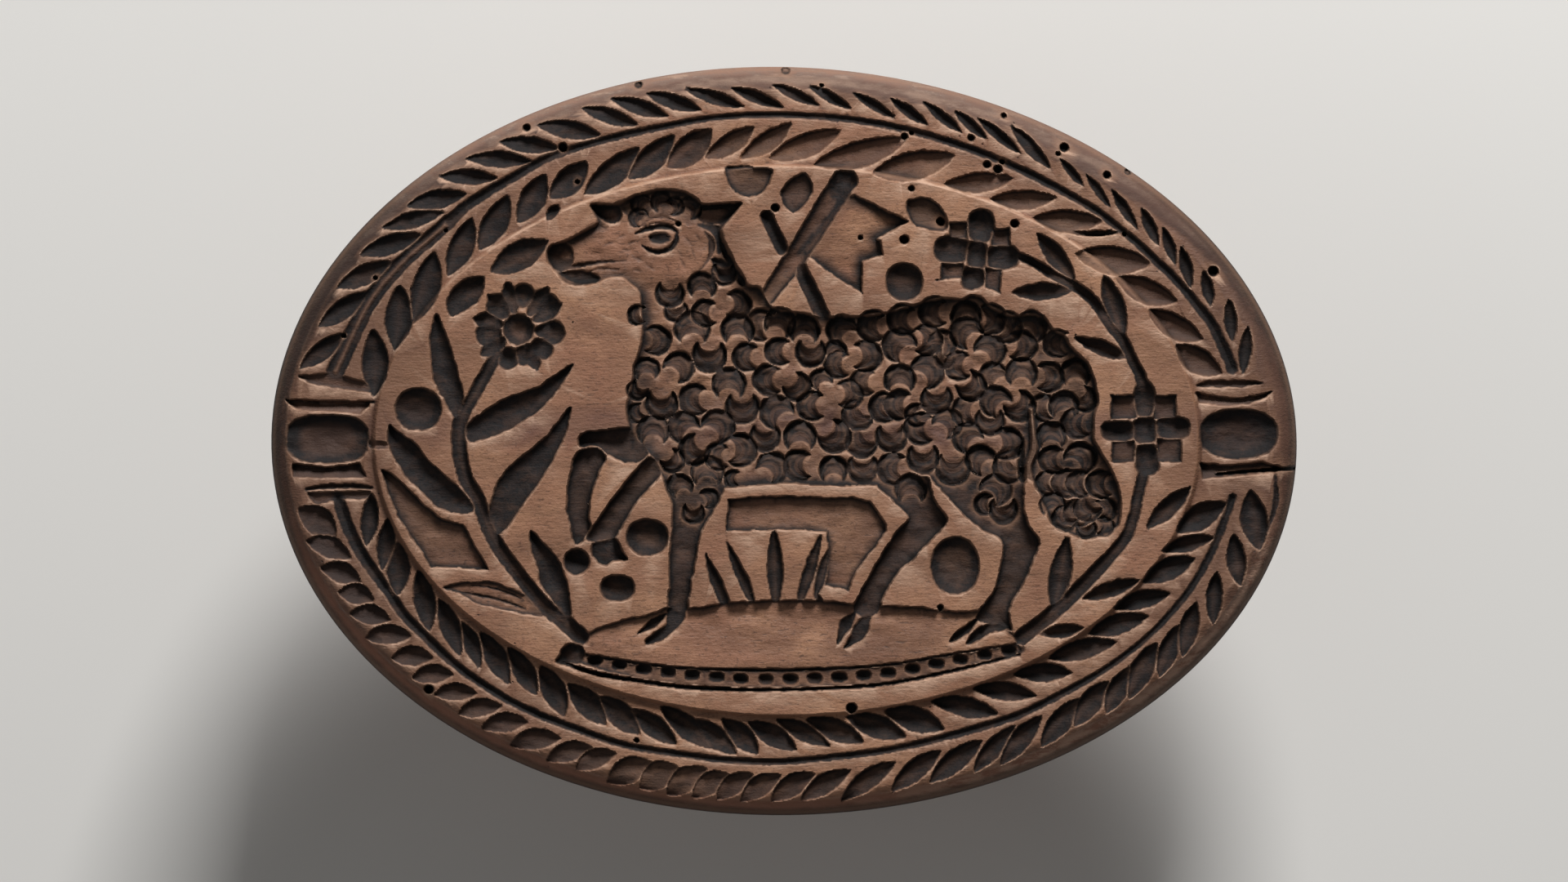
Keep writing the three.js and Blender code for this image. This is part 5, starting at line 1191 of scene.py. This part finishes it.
def carved_walnut(colours):
    """Carved walnut, oiled, waxed: satin worn lands; matt greasy dirt and painted shade in the
    hollows.
    """
    material, tree = new_material("carved_walnut")
    place = add_node(tree, "ShaderNodeTexCoord").outputs["Object"]
    parts = add_node(tree, "ShaderNodeSeparateXYZ", {0: place})
    x, y, z = parts.outputs["X"], parts.outputs["Y"], parts.outputs["Z"]
    # Bands of grain 6 mm wide and lines 0.9 mm wide, drawn out along the block
    broad = grained(tree, place, (0.12, 1, 0.6), 170, 4, 0.55)
    fine = grained(tree, place, (0.07, 1, 0.6), 1150, 3, 0.6)
    # Open pores of walnut are 0.2 mm wide and 1 to 3 mm long
    pores = grained(tree, place, (0.2, 1, 0.6), 2600, 1.5)
    # Blotches 17 mm wide, mottling of 3 mm, specks of 0.8 mm and scratches of 2.4 mm
    blotches = grained(tree, place, (1, 1, 0.6), 60, 5, 0.6)
    mottle = grained(tree, place, (0.5, 1, 0.6), 330, 4, 0.65)
    specks = grained(tree, place, (1, 1, 0.6), 1300, 4, 0.7)
    scratches = grained(tree, place, (0.3, 1, 0.6), 420, 6, 0.75)
    # What the carving left at each point of the surface
    cut, hollow, worn, lit_lip, arcs, inset = (
        add_node(tree, "ShaderNodeAttribute", attribute_name=name).outputs["Fac"]
        for name in ("cut", "hollow", "worn", "lit_lip", "arcs", "inset")
    )
    # Both fall below 1, one near an inner corner, and one near an outer edge
    corner, brink = (
        add_node(
            tree, "ShaderNodeAmbientOcclusion", {"Distance": reach * MM}, samples=8,
            inside=inside, only_local=True,
        ).outputs["AO"]
        for inside, reach in ((False, 1.8), (True, 0.45))
    )
    # How far a point lies from the streak of heartwood, the short axis and the long axis
    streak = combined(tree, y, (broad, 0.006), -0.0057, operation="ADD")
    streak, ends, aside = (
        add_node(tree, "ShaderNodeMath", {0: value}, operation="ABSOLUTE").outputs[0]
        for value in (streak, combined(tree, x, -0.004, operation="ADD"), y)
    )

    wood = layered(tree, colours.land_dark, colours.land, (broad, 0.3, 0.62))
    wood = layered(tree, wood, colours.land_light, (blotches, 0.42, 0.68, 0, 0.9))
    wood = layered(tree, wood, colours.land_dark, (mottle, 0.38, 0.56, 0.42, 0))
    wood = layered(tree, wood, colours.land_dark, (fine, 0.32, 0.5, 0.3, 0))
    wood = layered(tree, wood, colours.recess, (pores, 0.64, 0.7, 0, 0.5))
    wood = layered(tree, wood, colours.recess_brown, (specks, 0.55, 0.67, 0, 0.55))
    # A darker streak of heartwood crosses the middle of the block
    wood = layered(tree, wood, colours.heart, (streak, 0.001, 0.0052, 0.45, 0))
    # Both ends were handled more than the middle
    wood = layered(tree, wood, colours.land_dark, (ends, 0.058, 0.092, 0, 0.8))
    wood = layered(tree, wood, colours.rubbed, (ends, 0.068, 0.086, 0, 0.55))
    # So was the wreath's band, except at its top and foot and in the middle of each end
    wood = layered(
        tree, wood, colours.rubbed, (inset, 1.6, 2.1, 0.38, 0), (ends, 0.02, 0.05),
        (aside, 0.008, 0.02),
    )

    # The rim is brown from handling below, rubbed darker at the sides, and dry at the top
    tilted = combined(tree, y, (x, -0.12), (blotches, 0.02), operation="ADD")
    dryness = combined(tree, (tilted, -0.005, 0.075))
    rim_wood = layered(tree, colours.handled, colours.rubbed, (dryness, 0, 0.3))
    rim_wood = layered(tree, rim_wood, colours.scuffed, (dryness, 0.65, 1))
    rim_wood = layered(tree, rim_wood, colours.handled, (scratches, 0.42, 0.6, 0.4, 0))
    # The side below the rim is plainer, and its grain shows
    over_side = combined(
        tree, (z, (FACE_HEIGHT - RIM_ROUNDING) * MM, (FACE_HEIGHT - RIM_LEAN) * MM),
    )
    # Dry scratches at the top
    rim_wood = layered(
        tree, rim_wood, colours.chipped_and_lit, (scratches, 0.52, 0.66, 0, 0.4), dryness, over_side,
    )
    # Above, the dark wood comes back along the inner edge and towards the right
    inner = combined(
        tree, (inset, 0.12, 0.24, 0, 0.8), (x, 0.01, 0.055, 0, 0.65), operation="MAXIMUM",
    )
    rim_wood = layered(tree, rim_wood, colours.rubbed, inner, (dryness, 0.2, 0.6))
    # Hands blackened it at both ends, down to a little below the middle
    rim_wood = layered(
        tree, rim_wood, colours.deep_dirt_and_shade, (ends, 0.055, 0.095, 0, 0.66), (y, -0.035, -0.005),
    )
    # Its lower right is scuffed down to dry wood, and painted pale beyond that: painted light where
    # the rim faces away from the lamp
    rim_wood = layered(
        tree, rim_wood, colours.chipped_and_lit, (scratches, 0.4, 0.56, 0, 0.55), (x, 0, 0.05),
        (y, -0.03, -0.01, 1, 0), over_side,
    )
    reach = combined(
        tree, (dryness, 0.3, 1, RIM_STRIP / 10, 0.66), 0.02, (inset, -1), (mottle, 0.26),
        operation="ADD",
    )
    covered = combined(tree, (reach, 0.08, 0.26, 0, 0.97), (over_side, 0, 1, 0.62, 1))
    wood = layered(tree, wood, rim_wood, covered)
    # The sharpest turn of the rim is nearly black, except where it is dry at the top
    turn = combined(tree, inset, (mottle, 0.12), operation="ADD")
    undried = combined(tree, (dryness, 0.5, 0.95, 1, 0), (ends, 0.07, 0.085), operation="MAXIMUM")
    wood = layered(tree, wood, colours.deep_dirt_and_shade, (turn, 0.15, 0.29, 0.85, 0), undried)

    # Dirt and grease lie in what was cut; painted shade darkens its corners further
    recess = layered(tree, colours.recess, colours.recess_brown, (mottle, 0.47, 0.66, 0, 0.4))
    # The steps that the rocking gouge left across each curl, browner towards its mouth
    swing = combined(tree, arcs, CURL_STEPS * 2 * math.pi)
    swing = add_node(tree, "ShaderNodeMath", {0: swing}, operation="SINE").outputs[0]
    arc_tone = combined(tree, (swing, 0.1, 0.9), (arcs, 0.25, 0.8, 0.25, 0.85), (arcs, 0.02, 0.12))
    recess = layered(tree, recess, colours.recess_brown, arc_tone)
    wood = layered(tree, wood, recess, cut, (specks, 0.35, 0.62, 1.0, 0.94))
    # Painted shade: inner corners and the foot of walls go near black
    corner_shade_and_dirt = combined(tree, (corner, 0.4, 0.92, 0.95, 0), hollow, operation="MAXIMUM")
    wood = layered(tree, wood, colours.deep_dirt_and_shade, corner_shade_and_dirt)
    # Worn and chipped edges are dry and pale; the lower edges also carry a painted highlight
    edge = combined(tree, (brink, 0.45, 0.9, 0.6, 0), (mottle, 0.4, 0.6, 0.2, 1))
    chips_and_highlight = combined(tree, lit_lip, (scratches, 0.38, 0.58, 0.15, 1))
    wood = layered(tree, wood, colours.chipped_and_lit, combined(tree, edge, chips_and_highlight, operation="MAXIMUM"))
    wood = layered(tree, wood, colours.land_light, worn, 0.5)

    relief = combined(
        tree, (fine, 0.15), (pores, -0.6), (specks, 1.1), (mottle, 1.5), (arc_tone, 0.8),
        operation="ADD",
    )
    dull = combined(tree, (cut, 0, 1, 0.5, 0.72), (covered, 0, 0.6, 0, 0.72), operation="MAXIMUM")
    dull = combined(tree, dull, (fine, 0.1), operation="ADD")
    finish_wood(tree, wood, relief, 0.5, 0.3, {"Roughness": dull, "Specular IOR Level": 0.25})
    return material


def turned_walnut(colours):
    """Turned walnut, polished by the hand: upright grain, fine tool rings, satin wax."""
    material, tree = new_material("turned_walnut")
    place = add_node(tree, "ShaderNodeTexCoord").outputs["Object"]
    # Upright bands 4 mm wide, pores, and patches of 22 mm where the hand wore it
    broad = grained(tree, place, (1, 1, 0.08), 240, 4, 0.55)
    pores = grained(tree, place, (1, 1, 0.08), 2200, 2)
    grip = grained(tree, place, (1, 1, 1), 45, 4)
    # Tool rings are about 0.8 mm apart
    rings = add_node(
        tree, "ShaderNodeTexWave", {"Vector": place, "Scale": 390, "Distortion": 0.6, "Detail": 1},
        bands_direction="Z",
    ).outputs["Fac"]
    wood = layered(tree, colours.rubbed, colours.turned, (broad, 0.36, 0.66))
    wood = layered(tree, wood, colours.land, (grip, 0.45, 0.75, 0, 0.4))
    wood = layered(tree, wood, colours.recess, (pores, 0.6, 0.7, 0, 0.6))
    relief = combined(tree, (rings, 0.25), (pores, -1), operation="ADD")
    dull = combined(tree, (grip, 0.35, 0.7, 0.34, 0.5))
    finish_wood(tree, wood, relief, 0.3, 0.2, {"Roughness": dull, "Specular IOR Level": 0.45})
    return material


def split_wood(colours):
    """Wood split along its grain and pared with a knife: raw, pale and fibrous."""
    material, tree = new_material("split_wood")
    place = add_node(tree, "ShaderNodeTexCoord").outputs["Object"]
    # Fibres 0.6 mm wide
    fibres = grained(tree, place, (1, 1, 0.1), 1600, 4, 0.6)
    wood = layered(tree, colours.land, colours.split, (fibres, 0.35, 0.65))
    finish_wood(tree, wood, fibres, 0.4, 0.3, {"Roughness": 0.7})
    return material


class STAMP_OT_carve_block(bpy.types.Operator):
    """Carves the oval block's face and closes the block around it"""

    bl_idname = "stamp.carve_block"
    bl_label = "Carve block"

    triangles: bpy.props.IntProperty(
        name="Triangles", description="Most triangles of the finished block", default=188000,
        min=20000, max=199000,
    )

    def execute(self, context):
        settings = context.scene.stamp_carving
        depths = {name: getattr(settings, name) / MM for name in StampCarving.__annotations__}
        cell = depths["cell"]
        face = Face(cell, depths["field_step"], depths["edge_wear"])
        carve_wreath(face, depths)
        carve_ends(face, depths)
        carve_panels(face, depths)
        carve_mound(face, depths)
        carve_plants(face, depths)
        carve_banner(face, depths)
        carve_lamb(face, depths)
        carve_fleece(face, depths)
        carve_head(face)
        age_face(face)

        deselect()
        bpy.ops.mesh.primitive_grid_add(
            x_subdivisions=int(BLOCK_LENGTH / cell), y_subdivisions=int(BLOCK_WIDTH / cell), size=2,
        )
        block = context.object
        block.name = "carved_face_block"
        places = vertex_places(block)
        across, up = places[:, 0].copy(), places[:, 1].copy()
        disc_x = across * np.sqrt(1 - up**2 / 2)
        disc_y = up * np.sqrt(1 - across**2 / 2)
        x, y = onto_outline(disc_x, disc_y)
        x = x * (1 - RIM_START / (BLOCK_LENGTH / 2))
        y = y * (1 - RIM_START / (BLOCK_WIDTH / 2))
        z = np.minimum(face.sample(face.height, x, y), 0.0)
        set_places(block, np.stack([x, y, z + FACE_HEIGHT], axis=1) * MM)
        self.close_block(block)
        self.thin_out(block)
        self.mark_surface(block, face)
        make_active(block)
        bpy.ops.object.shade_smooth_by_angle(angle=math.radians(38))
        apply_modifier(block, "WEIGHTED_NORMAL", keep_sharp=True, weight=60)
        block.data.materials.append(carved_walnut(context.scene.stamp_colours))
        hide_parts("carved_block")
        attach(block, "root")
        return {"FINISHED"}

    def close_block(self, block):
        """Draws the face's edge down the side, under the back and into the handle's socket."""
        make_active(block)
        bpy.ops.object.mode_set(mode="EDIT")
        bpy.ops.mesh.select_mode(type="EDGE")
        bpy.ops.mesh.select_all(action="DESELECT")
        bpy.ops.mesh.select_non_manifold(
            extend=False, use_wire=False, use_boundary=True, use_multi_face=False,
            use_non_contiguous=False, use_verts=False,
        )
        # Rings below the face: inset from the outline, and height
        rings = []
        for degrees in (10, 0):
            lean = math.radians(degrees)
            drop = RIM_ROUNDING * (1 - math.sin(lean))
            rings.append((RIM_LEAN * (1 - math.cos(lean)), FACE_HEIGHT - FIELD_STEP - drop))
        rings.append((0.0, (BACK_HEIGHT + FACE_HEIGHT) / 2))
        for side_in, up in rounded(BACK_ROUNDING, (90, 60, 30, 0)):
            rings.append((side_in, BACK_HEIGHT + up))
        inset = RIM_START
        for number, (next_inset, height) in enumerate(rings):
            bpy.ops.mesh.extrude_edges_move()
            grow = [
                (size / 2 - next_inset) / (size / 2 - inset) for size in (BLOCK_LENGTH, BLOCK_WIDTH)
            ]
            bpy.ops.transform.resize(value=(grow[0], grow[1], 1), center_override=(0, 0, 0))
            mesh = bmesh.from_edit_mesh(block.data)
            for vertex in mesh.verts:
                if vertex.select:
                    if number == 0:
                        vertex.co.z = min(vertex.co.z, height * MM)
                    else:
                        vertex.co.z = height * MM
            bmesh.update_edit_mesh(block.data)
            inset = next_inset
        for radius, height in (
            (SOCKET_RADIUS + SOCKET_EASE, BACK_HEIGHT), (SOCKET_RADIUS, BACK_HEIGHT + SOCKET_EASE),
            (SOCKET_RADIUS, BACK_HEIGHT + SOCKET_DEPTH),
        ):
            bpy.ops.mesh.extrude_edges_move()
            mesh = bmesh.from_edit_mesh(block.data)
            for vertex in mesh.verts:
                if vertex.select:
                    reach = math.hypot(vertex.co.x, vertex.co.y)
                    vertex.co.x *= radius * MM / reach
                    vertex.co.y *= radius * MM / reach
                    vertex.co.z = height * MM
            bmesh.update_edit_mesh(block.data)
        bpy.ops.mesh.extrude_edges_move()
        bpy.ops.mesh.merge(type="CENTER")
        bpy.ops.mesh.select_all(action="SELECT")
        bpy.ops.mesh.normals_make_consistent(inside=False)
        bpy.ops.object.mode_set(mode="OBJECT")

    def thin_out(self, block):
        """Keeps points where the carving needs them, and few where the wood is flat."""
        count = sum(len(face.vertices) - 2 for face in block.data.polygons)
        if count > self.triangles:
            apply_modifier(block, "DECIMATE", ratio=self.triangles / count)
        # Thinning moves points by a few hundredths of a millimetre, so they are kept in the box
        set_places(block, np.clip(vertex_places(block), BLOCK_LOW, BLOCK_HIGH))

    def mark_surface(self, block, face):
        """Stores how deep, how hollow, how worn and how near the rim each point lies."""
        places = vertex_places(block) / MM
        x, y, z = places.T
        on_face = rise((z - (FACE_HEIGHT - RIM_ROUNDING)) / 3)
        sunk = spread(face.height, max(2, int(HOLLOW_REACH / face.cell))) - face.height
        crest = face.height - spread(face.height, max(1, int(CREST_REACH / face.cell)))
        # Handling smeared some of the dirt over the edges of the cuts
        smear = spread(np.minimum(face.dirt_and_shade, 1), max(1, round(SMEAR_REACH / face.cell))) * 0.35
        dirt_and_shade = face.sample(np.maximum(face.dirt_and_shade, smear), x, y)
        # Painted shade: points below their neighbours, at the foot of walls, go darker, and
        # darkness above 1 adds near black
        hollow = np.clip((face.sample(sunk, x, y) - 0.1) / 0.75, 0, 0.9)
        hollow = np.maximum(hollow * np.clip(dirt_and_shade * 1.5, 0.3, 1), dirt_and_shade - 1)
        worn = np.clip((face.sample(crest, x, y) - 0.05) / 0.35, 0, 0.5)
        # Lower edges, which face the lamp, carry a painted highlight; they are also chipped, where
        # the print was pulled off over them
        above = np.roll(face.height, -max(1, round(LIP_REACH / face.cell)), axis=0)
        lit_lip = np.clip((face.height - above - 0.3) / 0.5, 0, 1)
        lit_lip = lit_lip * np.clip(1.3 - 2 * face.dirt_and_shade, 0, 1) * rise((face.inset - 1.5) / 2)
        set_attribute(block, "cut", np.minimum(dirt_and_shade, 1) * on_face)
        set_attribute(block, "hollow", hollow * on_face)
        set_attribute(block, "worn", worn * on_face)
        set_attribute(block, "lit_lip", face.sample(lit_lip, x, y) * on_face)
        set_attribute(block, "arcs", face.sample(face.arcs, x, y) * on_face)
        set_attribute(block, "inset", rim_inset(x, y) / 10)


class STAMP_OT_turn_handle(bpy.types.Operator):
    """Turns the handle with its collar and its split tenon"""

    bl_idname = "stamp.turn_handle"
    bl_label = "Turn handle"

    steps: bpy.props.IntProperty(
        name="Steps", description="Facets around the handle", default=144, min=24, max=360,
    )

    def execute(self, context):
        profile = [(ON_AXIS, 0.0), *HANDLE_FOOT]
        profile += [tuple(point) for point in curved(HANDLE_PROFILE, spacing=1.4)[1:]]
        profile += [(COLLAR_RADIUS - COLLAR_EASE, COLLAR_LOW)]
        for side_in, up in rounded(COLLAR_EASE, (0, 30, 60, 90)):
            profile.append((COLLAR_RADIUS - side_in, COLLAR_LOW + up))
        for side_in, down in rounded(COLLAR_EASE, (90, 60, 30, 0)):
            profile.append((COLLAR_RADIUS - side_in, COLLAR_TOP - down))
        profile += [
            (TENON_RADIUS, COLLAR_TOP), (TENON_RADIUS, TENON_TOP - TENON_EASE),
            (TENON_RADIUS - TENON_EASE, TENON_TOP), (ON_AXIS, TENON_TOP),
        ]
        mesh = bpy.data.meshes.new("turned_handle")
        mesh.from_pydata(
            [(r * MM, 0, h * MM) for r, h in profile],
            [(i, i + 1) for i in range(len(profile) - 1)], [],
        )
        handle = bpy.data.objects.new("turned_handle", mesh)
        context.collection.objects.link(handle)
        make_active(handle)
        bpy.ops.object.mode_set(mode="EDIT")
        bpy.ops.mesh.select_all(action="SELECT")
        bpy.ops.mesh.spin(
            steps=self.steps, angle=2 * math.pi, center=(0, 0, 0), axis=(0, 0, 1),
            use_auto_merge=True,
        )
        bpy.ops.mesh.select_all(action="SELECT")
        bpy.ops.mesh.remove_doubles(threshold=0.000005)
        bpy.ops.mesh.normals_make_consistent(inside=False)
        bpy.ops.object.mode_set(mode="OBJECT")

        deselect()
        bpy.ops.mesh.primitive_cube_add(size=1, location=(0, 0, TENON_TOP * MM))
        saw_cut = context.object
        # It reaches well past the tenon at both sides, and as far above its end as into it
        saw_cut.scale = (4 * TENON_RADIUS * MM, KERF_WIDTH * MM, 2 * KERF_DEPTH * MM)
        bpy.ops.object.transform_apply(location=True, rotation=True, scale=True)
        apply_modifier(handle, "BOOLEAN", operation="DIFFERENCE", object=saw_cut, solver="EXACT")
        bpy.data.objects.remove(saw_cut)
        make_active(handle)
        bpy.ops.object.shade_smooth_by_angle(angle=math.radians(32))
        handle.data.materials.append(turned_walnut(context.scene.stamp_colours))
        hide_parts("handle")
        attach(handle, "root")
        return {"FINISHED"}


class STAMP_OT_split_wedge(bpy.types.Operator):
    """Splits the wedge that spreads the tenon in its socket"""

    bl_idname = "stamp.split_wedge"
    bl_label = "Split wedge"

    def execute(self, context):
        size = WEDGE_HIGH - WEDGE_LOW
        middle = (WEDGE_HIGH + WEDGE_LOW) / 2
        deselect()
        bpy.ops.mesh.primitive_cube_add(size=1, location=middle, scale=size)
        wedge = context.object
        wedge.name = "split_wedge"
        bpy.ops.object.transform_apply(location=True, rotation=True, scale=True)
        bpy.ops.object.mode_set(mode="EDIT")
        bpy.ops.mesh.select_mode(type="VERT")
        bpy.ops.mesh.select_all(action="DESELECT")
        mesh = bmesh.from_edit_mesh(wedge.data)
        for vertex in mesh.verts:
            vertex.select_set(vertex.co.z < middle.z)
        bmesh.update_edit_mesh(wedge.data)
        bpy.ops.transform.resize(value=(1, WEDGE_TIP / WEDGE_HEAD, 1), center_override=middle)
        bpy.ops.object.mode_set(mode="OBJECT")
        apply_modifier(wedge, "BEVEL", width=0.25 * MM, segments=2)
        make_active(wedge)
        bpy.ops.object.shade_smooth_by_angle(angle=math.radians(30))
        wedge.data.materials.append(split_wood(context.scene.stamp_colours))
        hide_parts("tenon_wedge")
        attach(wedge, "root")
        return {"FINISHED"}


class STAMP_OT_set_stage(bpy.types.Operator):
    """Lays the floor, hangs the lamps and sets the camera above the face"""

    bl_idname = "stamp.set_stage"
    bl_label = "Set stage"

    def execute(self, context):
        deselect()
        bpy.ops.mesh.primitive_plane_add(size=6, location=(0, 0, 0))
        floor = context.object
        floor.name = "floor"
        material, tree = new_material("pale_floor")
        shader = add_node(
            tree, "ShaderNodeBsdfPrincipled",
            {"Base Color": context.scene.stamp_colours.floor, "Roughness": 0.9},
        )
        add_node(tree, "ShaderNodeOutputMaterial", {"Surface": shader.outputs[0]})
        floor.data.materials.append(material)

        world = bpy.data.worlds.new("studio")
        context.scene.world = world
        world.use_nodes = True
        world.node_tree.nodes.clear()
        sky = add_node(
            world.node_tree, "ShaderNodeBackground", {"Color": (1, 1, 1, 1), "Strength": 0.13},
        )
        add_node(world.node_tree, "ShaderNodeOutputWorld", {"Surface": sky.outputs[0]})

        face = FACE_HEIGHT * MM
        # Lamps: name, place, size and watts
        lamps = [
            ("key", (0.2, 1.0, face + 0.68), 0.36, 20.8),
            ("fill", (-0.9, -0.3, face + 0.8), 0.9, 1.2),
        ]
        for name, place, size, power in lamps:
            lamp = bpy.data.lights.new(name, "AREA")
            lamp.energy = power
            lamp.size = size
            holder = bpy.data.objects.new(name, lamp)
            context.collection.objects.link(holder)
            holder.location = place
            aim = holder.location.copy()
            aim.z -= face
            holder.rotation_euler = aim.to_track_quat("Z", "Y").to_euler()

        camera = bpy.data.cameras.new("camera")
        camera.lens = 180
        camera.sensor_width = 36
        holder = bpy.data.objects.new("camera", camera)
        context.collection.objects.link(holder)
        # The picture's width takes in 304.8 mm at this height, about halfway down the rim
        shown_width = 0.3048
        measured_at = face - 5 * MM
        holder.location = (0, 0, measured_at + shown_width * camera.lens / camera.sensor_width)
        context.scene.camera = holder
        context.scene.view_settings.view_transform = "Standard"
        return {"FINISHED"}


class STAMP_PT_parts(bpy.types.Panel):
    """Pieces of the stamp and their settings"""

    bl_label = "Stamp"
    bl_space_type = "VIEW_3D"
    bl_region_type = "UI"
    bl_category = "Stamp"

    def draw(self, context):
        for operator in OPERATORS:
            self.layout.operator(operator.bl_idname)
        for group in (context.scene.stamp_carving, context.scene.stamp_colours):
            for name in type(group).__annotations__:
                self.layout.prop(group, name)


OPERATORS = [
    STAMP_OT_carve_block, STAMP_OT_turn_handle, STAMP_OT_split_wedge, STAMP_OT_set_stage,
]
CLASSES = [StampCarving, StampColours, *OPERATORS, STAMP_PT_parts]


def register():
    for kind in CLASSES:
        bpy.utils.register_class(kind)
    bpy.types.Scene.stamp_carving = bpy.props.PointerProperty(type=StampCarving)
    bpy.types.Scene.stamp_colours = bpy.props.PointerProperty(type=StampColours)


def unregister():
    del bpy.types.Scene.stamp_carving
    del bpy.types.Scene.stamp_colours
    for kind in reversed(CLASSES):
        bpy.utils.unregister_class(kind)


def main():
    register()
    bpy.ops.stamp.carve_block()
    bpy.ops.stamp.turn_handle()
    bpy.ops.stamp.split_wedge()
    bpy.ops.stamp.set_stage()


if __name__ == "__main__":
    main()
